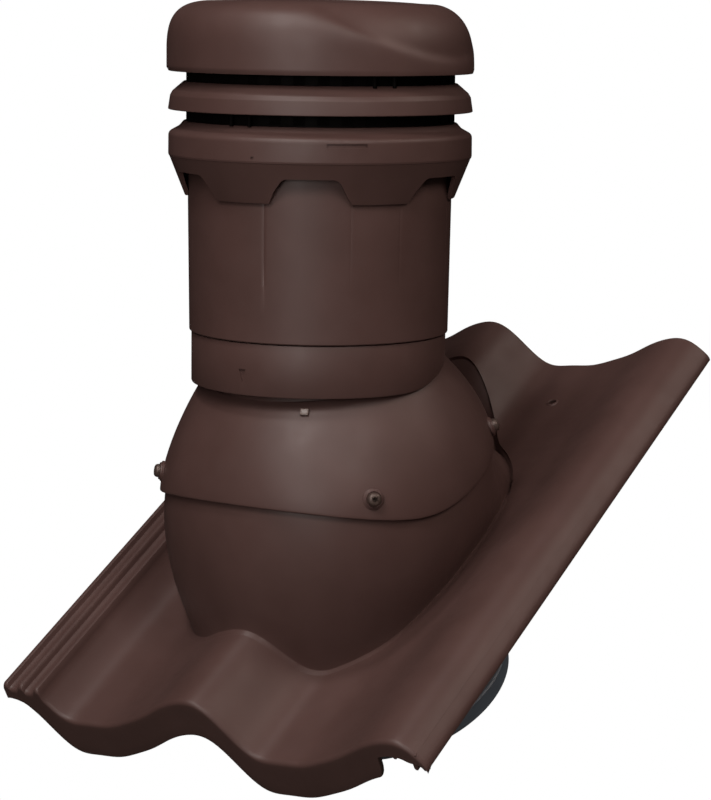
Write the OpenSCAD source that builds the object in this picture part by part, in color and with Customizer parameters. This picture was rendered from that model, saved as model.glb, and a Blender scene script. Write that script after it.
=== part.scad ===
// Roof vent pipe: a double-roll plastic roof tile with a two-part dome, a vertical insulated
// pipe clicked into the dome's collar, and a louvred head.
// +Z is the pipe's axis, +Y points up the roof and +X across it. The origin is the point where
// the pipe's axis crosses the middle plane of the tile's waves.

/* [Roof and tile] */
// Slope of the roof that the tile lies on, degrees
roof_pitch = 28.5; // [27:0.5:30]
// Length of the tile plate along the slope
tile_length = 422; // [400:1:440]
// Distance from the eave edge to the pipe's axis, along the slope
eave_to_axis = 155; // [148:1:165]
// Width of the tile plate
tile_width = 325; // [318:1:335]
// Distance from the left edge to the pipe's axis
left_to_axis = 154; // [151:0.5:157]
// Thickness of the moulded sheet
sheet = 3.2; // [2.6:0.1:4]
// Width that the next tile laps, beyond two pitches of the rolls
side_lap = 25; // [22:1:28]
// Rise of the rolls, half of the height between crest and trough
roll_rise = 18.5; // [16:0.5:20]
// Place of the roll beside the pipe's axis
roll_place = -9.2; // [-12:0.2:-6]
// Depth of the turned-down eave lip
eave_lip = 28; // [24:1:32]
// Depth of the lip's thin end under the lapping roll
lap_lip = 12.5; // [10:0.5:15]
// Wall of the eave lip
lip_wall = 3.5; // [2.5:0.1:5]
// Width of the side lock at the left edge
lock_width = 30; // [26:1:33]
// Height of the side lock's ribs
lock_rib = 4.6; // [4:0.2:6]
// Radius of the nail holes
nail_r = 2.75; // [2.25:0.25:3.25]
// Distance from the ridge edge to the nail holes
nail_from_ridge = 46; // [40:1:55]
// Depth of the batten hooks below the sheet's middle plane
hook_depth = 44; // [40:1:50]

/* [Dome base] */
// Half width of the base's foot across the roof
foot_half_width = 97.4; // [95:0.2:100]
// Half length of the foot along the slope
foot_half_length = 133.4; // [130:0.2:137]
// Squareness of the foot: 2 is an ellipse
foot_square = 2.24; // [2.1:0.02:2.5]
// Place of the foot's centre across the roof
foot_x = -4.4; // [-6:0.2:-3]
// Place of the foot's centre up the slope
foot_s = 49; // [47:0.5:51]
// Width of the foot's edge in front
flange_width = 3.2; // [2.6:0.2:4]
// Thickness of that edge
flange_t = 1.8; // [1.5:0.1:2.2]
// How much wider the foot's bead is behind
bead_width = 4.6; // [3:0.2:6]
// How much higher the bead is behind
bead_height = 3; // [2:0.2:4]
// Wall of the base's shell
base_wall = 2.4; // [2:0.1:3]

/* [Dome hood] */
// Half width of the hood at its rim
hood_half_width = 106.1; // [105:0.1:108]
// Half length of the hood at its rim
hood_half_length = 108.5; // [107.5:0.1:110]
// Squareness of the hood's rim
hood_square = 2.22; // [2.1:0.02:2.35]
// Centre of the rim, up the roof from the pipe's axis
hood_y = 12.1; // [11:0.1:13]
// Wall of the hood
hood_wall = 2.4; // [2:0.1:2.8]
// Step in from the neck to the hood's top opening
top_step = 1.7; // [1.2:0.1:2]
// Centre of that opening, up the roof from the pipe's axis
top_y = 5.7; // [5:0.1:6.5]
// Height of that opening's centre
top_z = 137.5; // [135:0.5:139]
// Slope of that opening, degrees
top_slope = 10.3; // [9:0.1:11]
// Height at which the rim's front and rear slopes would meet
rim_z = 41.9; // [40:0.1:44]
// Place where they meet, up the roof from the pipe's axis
rim_y = -22.6; // [-26:0.2:-18]
// Slope of the rim's front part, degrees, falling up the roof
rim_front = 12.1; // [10:0.1:14]
// Slope of the rim's rear part, degrees, rising up the roof
rim_rear = 22.4; // [20:0.2:24]
// Gap between the hood's wall and the base under it
dome_gap = 1; // [0.8:0.1:1.4]
// Extra gap behind, so that the hood can turn down for a steeper roof
rear_gap = 1.6; // [1.4:0.1:2]
// Centre of the swivel, up the roof from the pipe's axis
swivel_y = 18; // [17:0.5:19]
// Height of the swivel's centre
swivel_z = 51; // [50:0.5:53]
// Turn of the hood that a shallower roof needs, degrees
swivel_up = 8; // [5:1:8]
// Turn of the hood that a steeper roof needs, degrees
swivel_down = 1; // [0.5:0.5:1]
// Radius of the dome's washers
washer_r = 6.7; // [6:0.1:7.2]
// Radius of the dome screws' shank
screw_r = 2.1; // [1.8:0.1:2.4]

/* [Pipe and collar] */
// Outer radius of the pipe under the crown
pipe_top_r = 85.2; // [84.5:0.1:86]
// How much narrower the pipe is at its foot, above the collar
pipe_taper = 1; // [0.6:0.1:1.4]
// Wall of the pipe's outer shell
pipe_wall = 2.5; // [2:0.1:3]
// Step in from the pipe's foot to the collar
collar_step = 1.4; // [1:0.1:1.8]
// Wall of the collar
collar_wall = 3.2; // [2.8:0.1:3.6]
// Height of the collar's lower edge in front
collar_low = 129.4; // [128:0.2:131]
// Step in from the neck to the throat under it
throat_step = 8.6; // [8:0.1:9]
// Height of the seam between the collar and the pipe
seam_z = 162; // [160.5:0.5:164]
// Thickness of the insulation between the shell and the air duct
insulation = 16.1; // [15.5:0.1:17]
// Wall of the air duct
duct_wall = 2.5; // [2:0.1:2.6]
// Running gap between telescoping tubes
slip = 0.4; // [0.35:0.05:0.5]

/* [Head] */
// Height of the crown's tips
tip_z = 249.4; // [246:0.2:251]
// Step out from the pipe to the crown's tips
tip_step = 2; // [1.8:0.1:2.4]
// Reach of the crown, the louvre ring and the cap beyond the pipe
head_reach = 12.8; // [12:0.1:14]
// Height of the crown's flared skirt
skirt_h = 27.3; // [26:0.1:29]
// Height of the crown's band
band_h = 13; // [12:0.1:14]
// Height of the crown's shoulder
shoulder_h = 7.3; // [6.8:0.1:8]
// Height of the crown's notches
notch_h = 16; // [14:0.2:18]
// Number of tabs on the crown
tabs = 6; // [6]
// Angle that a notch takes at its mouth, degrees
notch_mouth = 35.2; // [32:0.2:38]
// Angle that a notch takes at its top, degrees
notch_top = 21; // [19:0.5:24]
// Radius of a notch's upper corners
notch_round = 6.5; // [4:0.5:8]
// Open height between the crown and the louvre ring
first_gap = 7.3; // [6.5:0.1:8]
// Height of the louvre ring
louvre_h = 17.9; // [16:0.1:19]
// Open height between the louvre ring and the cap
second_gap = 6.5; // [6:0.1:8.5]
// Height of the cap's upright wall
cap_wall_h = 16; // [15:0.1:17]
// Height of the cap's shoulder
cap_crown_h = 27.5; // [26:0.2:29]
// Wall of the head's mouldings
head_wall = 2.2; // [1.8:0.1:2.5]
// Step out from the pipe to the vent core
core_step = 1.2; // [1:0.1:1.5]
// Number of windows in the vent core
windows = 36; // [30:6:36]
// Width of a window
window_w = 7.5; // [5:0.5:8]

/* [Duct joint under the roof] */
// Reach of the ball at the duct's lower end beyond the sleeve's bore
ball_reach = 5.8; // [5.4:0.1:6.4]
// Wall of the ball and of its cup
ball_wall = 2.4; // [2:0.1:2.8]
// Wall of the sleeve under the tile
sleeve_wall = 3.3; // [3:0.1:3.8]
// Inner radius of the sleeve, for a duct of 160 mm
sleeve_bore = 80.2; // [80:0.1:80.6]
// Depth of the sleeve's lower end below the tile's middle plane
sleeve_depth = 129; // [125:1:135]
// Height of the ring at the sleeve's end
end_ring_h = 13; // [11:0.5:15]

/* [Hidden] */

brown = "#4d3b35";
black = "#303336";
rubber = "#1c1c1d";
zinc = "#a9adb0";
foam = "#8c8f92";
grey = "#6b6e70";

fine = 96;          // sides of the large round parts
mid = 32;           // sides of small round parts
steps = 72;         // points round the dome's shells
gap = 0.3;          // clearance at a seat
far = 400;          // longer than anything that is cut

// Pitch of the rolls, and the higher harmonics of their section as shares of their rise
roll_pitch = (tile_width - side_lap) / 2;
roll_crown = 0.119;
roll_lean = 0.208;
roll_flank = -0.079;
roll_skew = 0.049;
roll_fine = -0.037;

// Bulge of the hood between its rim and its top opening
bulge_power = 1.75;
bulge_fall = 0.93;
rim_blend = 11.6;   // rounding where the rim's two slopes meet
overlap_share = 0.45; // share of the hood's height that the base reaches up inside it
drop_share = 0.505; // how far the base's wall goes straight down before it turns in
flare_share = 0.041;

pipe_foot_r = pipe_top_r - pipe_taper;
collar_r = pipe_foot_r - collar_step;
neck_r = collar_r - collar_wall - slip;
top_r = neck_r - top_step;
duct_out = pipe_foot_r - pipe_wall - 2 * gap - insulation;
duct_r = duct_out - duct_wall;
head_r = pipe_top_r + head_reach;
core_r = pipe_top_r + core_step;
tip_r = pipe_top_r + tip_step;
band_z = tip_z + skirt_h;
band_top_z = band_z + band_h;
shoulder_z = band_top_z + shoulder_h;   // where the vent core leaves the crown
louvre_z = shoulder_z + first_gap;
louvre_top_z = louvre_z + louvre_h;
louvre_fall = 6.2;  // fall of the louvre ring's upper face, outwards
cap_z = louvre_top_z + second_gap;
cap_wall_z = cap_z + cap_wall_h;
cap_top_z = cap_wall_z + cap_crown_h;
ball_r = sleeve_bore + ball_reach;
sleeve_r = sleeve_bore + sleeve_wall;
seat_z = shoulder_z - 13;       // top of the pipe's shell, inside the crown
core_top = cap_z + 7.3;         // top of the vent core, inside the cap
neck_top = seam_z - 6;
neck_low = collar_low + 1.6;
throat_r = neck_r - throat_step;
duct_joint_z = neck_top - 32;   // top of the ball duct's socket is at neck_top
cup_r = ball_r + slip;
stop_h = -14;       // end of the sleeve's socket, square to the tile
swivel = [0, swivel_y, swivel_z];
axis_s = swivel_y * cos(roof_pitch) + swivel_z * sin(roof_pitch);
axis_h = swivel_z * cos(roof_pitch) - swivel_y * sin(roof_pitch);
flange_h = -26;     // top of the support flange, square to the tile
flange_screw_r = 2.5;
screw_tip_room = 2.3;   // room between a flange screw's tip and the sloping sheet
foot_reach = 9;     // how far the plate reaches in under the base's foot
foot_gap = 0.6;     // clearance between that foot and the plate
screw_drop = 14.5;  // depth of the dome screws below the hood

// Height of the tile's top surface above its middle plane, at x across the roof
function wave(x) = let (t = 360 * (x - roll_place) / roll_pitch)
    roll_rise * (cos(t) + roll_crown * cos(2 * t) + roll_lean * sin(2 * t) + roll_flank * cos(3 * t)
    + roll_skew * sin(3 * t) + roll_fine * sin(4 * t)) - 0.6;

// A point given across the roof, up the slope and square to the tile
function on_roof(x, s, h) = [x, s * cos(roof_pitch) - h * sin(roof_pitch),
    s * sin(roof_pitch) + h * cos(roof_pitch)];

// Radius factor of a superellipse at an angle
function squared(a, n) = pow(pow(abs(cos(a)), n) + pow(abs(sin(a)), n), -1 / n);

// Height of the hood's rim at y: two slopes with a rounded meeting
function rim_height(y) = let (f = rim_z - tan(rim_front) * (y - rim_y), g = rim_z + tan(rim_rear) * (y - rim_y))
    (f + g) / 2 + sqrt(pow((f - g) / 2, 2) + rim_blend * rim_blend);

// Point of the hood's skin at angle a, at share t of the way from rim to top, set in by inset
function hood_point(a, t, inset) = let (
    n = hood_square + (2 - hood_square) * t,
    r = squared(a, n),
    rim_x = (hood_half_width - inset) * r * cos(a),
    rim_py = hood_y + (hood_half_length - inset) * r * sin(a),
    low = rim_height(rim_py),
    x = (top_r - inset) * cos(a),
    y = top_y + (top_r - inset) * sin(a) * cos(top_slope),
    high = top_z + (top_r - inset) * sin(a) * sin(top_slope),
    w = pow(max(0, 1 - pow(t, bulge_power)), bulge_fall))
    [x + (rim_x - x) * w, y + (rim_py - y) * w, low + (high - low) * t];

// Point of the base's foot, grown by grow and raised by lift above the tile
function foot_point(a, grow, lift) = let (r = squared(a, foot_square),
    x = foot_x + (foot_half_width + grow) * r * cos(a),
    s = foot_s + (foot_half_length + grow) * r * sin(a))
    on_roof(x, s, wave(x) + lift);

// Inset from the hood's skin to the base's own skin at angle a
function base_inset(a) = let (v = max(0, (sin(a) - 0.66) / 0.34))
    hood_wall + dome_gap + rear_gap * v * v * (3 - 2 * v);

// Point of the base's wall between the rim, t = 0, and the foot, t = 1
function wall_point(a, t, inset) = let (
    top = hood_point(a, 0, base_inset(a) + inset),
    foot = foot_point(a, -inset, foot_gap + 0.5),
    tall = (top - foot) * [0, -sin(roof_pitch), cos(roof_pitch)],
    turn = top + [flare_share * top.x, flare_share * (top.y - hood_y), -drop_share * tall])
    (1 - t) * (1 - t) * top + 2 * t * (1 - t) * turn + t * t * foot;

angles = [for (i = [0 : steps - 1]) 360 * i / steps];

// Solid from a closed loop of rings, each of the same number of points
module ring_loop(rings) {
    n = len(rings[0]);
    m = len(rings);
    polyhedron(points = [for (r = rings) each r],
        faces = [for (j = [0 : m - 1], i = [0 : n - 1]) let (k = (j + 1) % m, e = (i + 1) % n)
            each [[j * n + i, k * n + i, k * n + e], [j * n + i, k * n + e, j * n + e]]]);
}

// Solid from a stack of rings, closed by a fan to a point at each end
module ring_stack(rings, low_point, high_point) {
    n = len(rings[0]);
    m = len(rings);
    polyhedron(points = [each [for (r = rings) each r], low_point, high_point],
        faces = [
            for (j = [0 : m - 2], i = [0 : n - 1]) let (e = (i + 1) % n)
                each [[j * n + i, (j + 1) * n + i, (j + 1) * n + e], [j * n + i, (j + 1) * n + e, j * n + e]],
            for (i = [0 : n - 1]) [m * n, i, (i + 1) % n],
            for (i = [0 : n - 1]) [m * n + 1, (m - 1) * n + (i + 1) % n, (m - 1) * n + i]]);
}

module tube(r, bore, low, high) {
    translate([0, 0, low]) rotate_extrude($fn = fine) translate([bore, 0]) square([r - bore, high - low]);
}

// Lays its children, drawn across x, up the slope y and square z, on the roof
module laid() rotate([roof_pitch, 0, 0]) children();

// Stands its children on the swivel's centre, square to the roof, +Z away from it
module at_swivel() translate(swivel) rotate([roof_pitch, 0, 0]) children();

// A foot outline grown by grow, as a prism through the tile
module foot_prism(grow, low, high) {
    translate([0, 0, low]) linear_extrude(high - low) polygon([for (a = angles)
        [foot_x + (foot_half_width + grow) * squared(a, foot_square) * cos(a),
        foot_s + (foot_half_length + grow) * squared(a, foot_square) * sin(a)]]);
}

// Section of the tile across the roof: the rolls, with the side lock at the left
module tile_section(depth) {
    left = -left_to_axis;
    right = tile_width - left_to_axis;
    start = left + lock_width;
    xs = [for (i = [0 : 100]) start + (right - start) * i / 100];
    polygon([for (x = xs) [x, wave(x)], for (i = [100 : -1 : 0]) [xs[i], wave(xs[i]) - depth]]);
    translate([left, lock_floor() - depth]) square([lock_width + 0.2, depth]);
}

function lock_floor() = min(wave(lock_width - left_to_axis), 1.2);

module side_lock_ribs() {
    for (x = [0, lock_width * 0.41, lock_width * 0.84])
        translate([x - left_to_axis, lock_floor() - 0.2]) square([4.2, lock_rib - lock_floor() + 0.2]);
}

// Where the lip joins the sheet
function lip_top(x) = (x < lock_width - left_to_axis ? lock_floor() : wave(x)) - 0.5;

// Section of the eave lip: deep below the rolls, thin under the lapping roll at the right
module lip_section() {
    left = -left_to_axis;
    right = tile_width - left_to_axis;
    turn = roll_place + roll_pitch - 3.2;
    xs = [for (i = [0 : 60]) left + (turn - left) * i / 60];
    ends = [for (i = [0 : 10]) turn + (right - turn) * i / 10];
    polygon([for (x = xs) [x, lip_top(x)], for (i = [60 : -1 : 0]) [xs[i], wave(xs[i]) - eave_lip]]);
    polygon([for (x = ends) [x, wave(x) - 0.5],
        for (i = [10 : -1 : 0]) [ends[i], wave(ends[i]) - (i > 5 ? lap_lip - 1.6 * (i - 5) : lap_lip)]]);
}

// Everything below the middle of the sheet, as a section
module below_sheet(from, to) polygon([[from, -far], for (i = [0 : 12]) let (x = from + (to - from) * i / 12)
    [x, wave(x) - sheet / 2], [to, -far]]);

// Hook that hangs the tile on the roof batten, under a roll at x
module batten_hook(x) {
    up = tile_length - eave_to_axis;
    intersection() {
        union() {
            translate([x - 11, up - 34, -hook_depth]) cube([22, 5, far]);
            for (dx = [-11, 8]) translate([x + dx, up - 29.5, -hook_depth + 14]) cube([3, 16, far]);
        }
        translate([0, up, 0]) rotate([90, 0, 0]) linear_extrude(60) below_sheet(x - 12, x + 12);
    }
}

// Boss under the tile for a screw of the support flange
module flange_boss(p) translate([p.x, p.y, flange_h + gap]) difference() {
    cylinder(r = 5.5, h = wave(p.x) - sheet / 2 - flange_h - gap, $fn = mid);
    translate([0, 0, -1]) cylinder(r = flange_screw_r + gap, h = wave(p.x) - sheet - flange_h + 1, $fn = mid);
}

// Tile plate: rolls, eave lip, side lock, overlap ribs, batten hooks and the dome's opening
module tile_plate() {
    up = tile_length - eave_to_axis;
    crest = roll_place + roll_pitch;
    module along(from, to) translate([0, to, 0]) rotate([90, 0, 0]) linear_extrude(to - from) children();
    color(brown) laid() difference() {
        union() {
            along(-eave_to_axis, up) { tile_section(sheet); side_lock_ribs(); }
            along(-eave_to_axis, -eave_to_axis + lip_wall) lip_section();
            for (x = [crest + side_lap * 0.31, crest + side_lap * 0.84])
                along(-eave_to_axis + 0.6, up - 30) translate([x, wave(x) - 12]) square([2.6, 12 - sheet / 2]);
            for (x = [roll_place, roll_place + roll_pitch * 0.85]) batten_hook(x);
            for (p = flange_screw_places) flange_boss(p);
        }
        foot_prism(-foot_reach, -60, 60);
        for (x = nail_xs) translate([x, up - nail_from_ridge, -60]) cylinder(r = nail_r, h = 120, $fn = mid);
    }
}
nail_xs = [roll_place + roll_pitch / 2, roll_place - roll_pitch / 2];

// Share of the foot's bead at angle a: none in front, all of it behind
function behind(a) = let (v = max(0, min(1, (sin(a) + 0.15) / 0.75))) v * v * (3 - 2 * v);

// Base of the dome: edge on the tile, wall up to the rim and a lip that runs on inside the hood
module dome_base() color(brown) {
    walls = 8;
    lips = 5;
    lip_in = 5;
    outer = [for (j = [0 : walls]) [for (a = angles) wall_point(a, 1 - j / walls, 0)]];
    lip = [for (j = [1 : lips]) let (t = overlap_share * j / lips)
        [for (a = angles) hood_point(a, t, base_inset(a) + lip_in * j / lips)]];
    lip_inner = [for (j = [lips : -1 : 1]) let (t = overlap_share * j / lips)
        [for (a = angles) hood_point(a, t, base_inset(a) + lip_in * j / lips + base_wall)]];
    inner = [for (j = [walls : -2 : 1]) [for (a = angles) wall_point(a, 1 - j / walls, base_wall)]];
    foot = [for (g = [[-base_wall - 1, 0, foot_gap, 0], [flange_width, 1, foot_gap, 0],
        [flange_width, 1, flange_t - 0.6, 0.8], [flange_width - 1, 1, flange_t, 1]])
        [for (a = angles) foot_point(a, g[0] + g[1] * bead_width * behind(a), g[2] + g[3] * bead_height * behind(a))]];
    difference() {
        ring_loop([each foot, each outer, each lip, each lip_inner, each inner]);
        for (p = screw_places) swept_slot(p);
    }
}

// Places of the dome screws on the hood's skin, from the swivel's centre
screw_places = [for (at = [[-40.5, 0.175], [220.5, 0.175], [34.5, 0.202], [145.5, 0.202]])
    hood_point(at[0], at[1], 0) - swivel];

// Turns its children so that +Z looks from the swivel's centre along p
module facing(p) translate(swivel) rotate([0, acos(p.z / norm(p)), atan2(p.y, p.x)]) children();

// Slot in the base that a dome screw sweeps as the hood swivels
module swept_slot(p) {
    slot_r = screw_r + 1.3;
    side = sign(p.x);
    out = norm([p.y, p.z]);
    lean = atan2(abs(p.x), out);
    start = atan2(p.z, p.y);
    low_turn = -swivel_down - 2.4;
    high_turn = swivel_up + 2.4;
    translate(swivel) rotate([start + low_turn, 0, 0]) mirror([side < 0 ? 1 : 0, 0, 0])
        rotate([0, 90, 0]) rotate([0, 0, 90]) rotate_extrude(angle = high_turn - low_turn, $fn = fine)
            rotate(lean) translate([norm(p) - 30, -slot_r]) square([50, 2 * slot_r]);
}

// Solid inside the hood's skin, set in by inset, going straight down by lower below its rim
module hood_skin(inset, lower) {
    rows = 12;
    ring_stack([if (lower > 0) [for (a = angles) hood_point(a, 0, inset) - [0, 0, lower]],
        for (j = [0 : rows]) [for (a = angles) hood_point(a, j / rows, inset)]],
        [0, hood_y, rim_z + rim_blend - lower], [0, top_y, top_z - 0.05]);
}

// Hood of the dome, with the neck for the pipe and the four screw seats
module dome_hood() {
    seat_r = washer_r + 0.5;
    color(brown) difference() {
        union() {
            hood_skin(0, 0);
            tube(throat_r, throat_r - 2.4, top_z - 17, neck_low + 1);
            tube(neck_r, throat_r - 2.4, neck_low, neck_low + 2);
            tube(neck_r, neck_r - 2.6, neck_low, neck_top);
            tube(neck_r + 1, neck_r - 1, neck_top - 2.8, neck_top - 1.2);
            pip();
        }
        hood_skin(hood_wall, 6);
        translate([0, 0, collar_low - 40]) cylinder(r = throat_r - 2.4, h = 100, $fn = fine);
        translate([0, 0, neck_low + 2]) cylinder(r = neck_r - 2.6, h = 100, $fn = fine);
        for (p = screw_places) facing(p) {
            translate([0, 0, norm(p) - 0.2]) cylinder(r = seat_r, h = 20, $fn = mid);
            translate([0, 0, norm(p) - 25]) cylinder(r = screw_r + 0.2, h = 40, $fn = mid);
        }
    }
}

// Small square mark on the hood that shows where the pipe's seam belongs
module pip() translate(hood_point(295.3, 0.9, 0)) rotate([0, 0, -62]) rotate([0, -40, 0])
    cube([7, 5.5, 5], center = true);

module dome_screws() color(brown) for (p = screw_places) facing(p) translate([0, 0, norm(p)]) {
    head = 2.1 * screw_r;
    translate([0, 0, 1.8]) difference() {
        rotate_extrude($fn = mid) polygon([[0, 0], [head, 0], [head, 0.5 * head], [0.82 * head, 0.82 * head],
            [0.5 * head, 0.9 * head], [0, 0.9 * head]]);
        translate([0, 0, 0.5 * head]) cylinder(r = 0.36 * head, h = head, $fn = 6);
    }
    translate([0, 0, -screw_drop]) cylinder(r = screw_r, h = screw_drop + 1.8, $fn = mid);
}

// Cup washers under the dome screws
module dome_washers() color(brown) for (p = screw_places) facing(p) translate([0, 0, norm(p)])
    rotate_extrude($fn = mid) polygon([[screw_r + 0.2, -0.2], [washer_r, -0.2], [washer_r, 1],
        [washer_r - 1.2, 2.4], [0.75 * washer_r, 2.4], [0.72 * washer_r, 1.8], [screw_r + 0.2, 1.8]]);

// Threaded plates inside the base that the dome screws pull up
module clamp_plates() color(zinc) for (p = screw_places) facing(p) translate([0, 0, norm(p) - screw_drop])
    difference() {
        translate([-3.1, -3.1, 0] * screw_r) cube([6.2, 6.2, 1.2] * screw_r);
        translate([0, 0, -screw_r]) cylinder(r = screw_r, h = 3 * screw_r, $fn = mid);
    }

// Collar round the neck; its lower edge is level in front and follows the dome behind
module lock_collar() color(brown) {
    bore = neck_r + slip;
    difference() {
        tube(collar_r, bore, collar_low, seam_z - 0.6);
        tube(bore + 1, bore - 1, neck_top - 3.2, neck_top - 0.8);
        translate([0, 0, 0.5]) hood_skin(-0.5, 0);
    }
}

module collar_gasket() color(rubber)
    tube(neck_r - 0.1, neck_r - 2.5, neck_top, neck_top + 2);

// Outer shell of the pipe, slightly wider at the top
module pipe_shell() color(brown) rotate_extrude($fn = fine) polygon([
    [pipe_foot_r - pipe_wall, seam_z], [pipe_foot_r, seam_z], [pipe_top_r, tip_z - 4],
    [pipe_top_r, seat_z - 1.2], [pipe_top_r - 1.2, seat_z], [pipe_top_r - pipe_wall, seat_z],
    [pipe_top_r - pipe_wall, tip_z - 4]]);

// Ring that joins the inner duct to the outer shell and sits on the collar's gasket
module pipe_foot_ring() color(brown) {
    outer = pipe_foot_r - pipe_wall;
    bore = duct_out + gap;
    rotate_extrude($fn = fine) polygon([[bore, neck_top + 2 + gap], [neck_r - 0.2, neck_top + 2 + gap],
        [neck_r - 0.2, seam_z], [outer - 0.1, seam_z], [outer - 0.1, seam_z + 5], [outer - 2.4, seam_z + 5],
        [outer - 2.4, seam_z + 1.5], [bore, seam_z + 1.5]]);
}

module insulation_sleeve() color(foam)
    tube(pipe_foot_r - pipe_wall - gap, duct_out + gap, seam_z + 5.3, seat_z - 6);

// Vertical air duct, plugged into the ball duct's socket below and open under the cap
module inner_duct() color(grey) tube(duct_out, duct_r, duct_joint_z + 4, shoulder_z + 14);

module duct_lip_seal() color(rubber)
    tube(duct_out + 2.7, duct_out + slip, neck_top - 6, neck_top - 1);

// Duct inside the dome: a socket for the pipe's duct above and a ball below
module ball_duct() color(grey) {
    socket = duct_out + slip;
    tilt = roof_pitch - 2;
    difference() {
        union() {
            tube(duct_out, duct_out - duct_wall, swivel_z + 8, duct_joint_z + 2);
            tube(socket + 2.4, duct_out - duct_wall, duct_joint_z - 2, duct_joint_z);
            tube(socket + 2.4, socket, duct_joint_z, neck_top - 6.3);
            translate(swivel) difference() {
                sphere(r = ball_r, $fn = fine);
                rotate([tilt, 0, 0]) translate([0, 0, -far / 2 - ball_r * 0.5]) cube(far, center = true);
            }
        }
        translate(swivel) sphere(r = ball_r - ball_wall, $fn = fine);
        translate([0, 0, swivel_z]) cylinder(r = duct_r, h = 30 + ball_r, $fn = fine);
    }
}

// Cup round the ball, fixed to the sleeve
module ball_cup() color(black) at_swivel() difference() {
    sphere(r = cup_r + ball_wall, $fn = fine);
    sphere(r = cup_r, $fn = fine);
    translate([0, 0, far / 2 + 8]) cube(far, center = true);
    translate([0, 0, -far]) cylinder(r = sleeve_bore - 6, h = far, $fn = fine);
}

module cup_seal() color(rubber) at_swivel() translate([0, 0, 8.3]) rotate_extrude($fn = fine)
    polygon([[cup_r - 0.1, 0], [cup_r + ball_wall - 0.2, 0], [cup_r + ball_wall - 0.2, 2],
        [cup_r + 0.6, 4], [cup_r - 0.4, 4]]);

// Black sleeve under the tile, square to the roof
module roof_sleeve() color(black) at_swivel() difference() {
    translate([0, 0, -axis_h - sleeve_depth + end_ring_h + 1])
        cylinder(r = sleeve_r, h = axis_h + sleeve_depth - end_ring_h - 1 - 26, $fn = fine);
    translate([0, 0, -far]) cylinder(r = sleeve_bore, h = far, $fn = fine);
    translate([0, 0, stop_h - axis_h]) cylinder(r = sleeve_bore + 0.8, h = far, $fn = fine);
    sphere(r = cup_r + ball_wall + 0.1, $fn = fine);
}

module support_flange() color(black) difference() {
    laid() difference() {
        foot_prism(10, flange_h - 3, flange_h);
        translate([0, axis_s, flange_h - 10]) cylinder(r = sleeve_r + 0.1, h = 20, $fn = fine);
        for (p = flange_screw_places) translate([p.x, p.y, flange_h - 10])
            cylinder(r = flange_screw_r + gap, h = 20, $fn = mid);
    }
}
flange_screw_places = [for (dx = [-1, 1], ds = [-1, 1])
    [foot_x + dx * 0.9 * foot_half_width, foot_s + ds * 0.615 * foot_half_length]];

module flange_screws() color(zinc) laid() for (p = flange_screw_places)
    translate([p.x, p.y, flange_h - 6]) {
        cylinder(r = 5, h = 2.8, $fn = mid);
        cylinder(r = flange_screw_r, h = 6 - flange_h + wave(p.x) - sheet - screw_tip_room, $fn = mid);
    }

// Ring at the sleeve's lower end, with a groove above it
module sleeve_end_ring() color(black) at_swivel() translate([0, 0, -axis_h - sleeve_depth])
    rotate_extrude($fn = fine) polygon([[sleeve_bore, 0], [sleeve_r - 0.6, 0], [sleeve_r, 0.6],
        [sleeve_r, end_ring_h - 1.2], [sleeve_r - 1.2, end_ring_h], [sleeve_bore + 1.6, end_ring_h],
        [sleeve_bore + 1.6, 6], [sleeve_bore, 6]]);

module sleeve_lip_seal() color(rubber) at_swivel() translate([0, 0, -axis_h - sleeve_depth + 6.2])
    rotate_extrude($fn = mid * 2) polygon([[sleeve_bore + 1.4, 0], [sleeve_bore + 1.4, end_ring_h - 6.4],
        [sleeve_bore + 0.3, end_ring_h - 6.4], [sleeve_bore + 0.3, 0]]);

// Core of the head: a tube with tall windows, seated on the pipe's shell
module vent_core() color(brown) difference() {
    union() {
        tube(core_r, core_r - 2, seat_z + gap, core_top);
        tube(core_r - 1, core_r - 9, seat_z + gap, seat_z + gap + 2.5);
    }
    for (i = [0 : windows - 1]) rotate([0, 0, 360 * (i + 0.5) / windows])
        translate([core_r - 6, -window_w / 2, shoulder_z + 1]) cube([12, window_w, core_top - shoulder_z - 5]);
}

// Outline of one notch, mouth down, with round upper corners
module notch_outline() {
    mouth = 2 * tip_r * sin(notch_mouth / 2);
    top = 2 * (tip_r + 3) * sin(notch_top / 2);
    rise = notch_h;
    lean = atan2((mouth - top) / 2, rise);
    round = notch_round;
    arc = [for (k = [0 : 6]) lean + (90 - lean) * k / 6];
    side = [for (a = arc) [top / 2 - round * tan(45 - lean / 2) + round * cos(a) - 0, rise - round + round * sin(a)]];
    polygon([[mouth / 2 + 2 * tan(lean), -2], each side, for (k = [6 : -1 : 0]) [-side[k].x, side[k].y],
        [-mouth / 2 - 2 * tan(lean), -2]]);
}

// Crown: shoulder, band and a castellated skirt round the pipe
module crown_skirt() color(brown) difference() {
    rotate_extrude($fn = fine) polygon([[tip_r - 1.7, tip_z], [tip_r, tip_z], [head_r, band_z],
        [head_r - 0.2, band_top_z - 1.5], [head_r - 1, band_top_z], [core_r + 1.5, shoulder_z],
        [core_r + 0.1, shoulder_z], [core_r + 0.1, shoulder_z - head_wall * 1.3],
        [head_r - head_wall - 0.6, band_top_z - head_wall], [head_r - head_wall, band_z + 0.6],
        [tip_r - 1.7, tip_z + 3]]);
    for (i = [0 : tabs - 1]) rotate([0, 0, 360 * (i + 0.5) / tabs + 90])
        translate([tip_r - 20, 0, tip_z]) rotate([90, 0, 90]) linear_extrude(60) notch_outline();
    rotate([0, 0, -46.4]) translate([head_r - 1.4, 0, band_top_z - 3.4]) cube([2.8, 25.2, 2.4], center = true);
}

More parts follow.
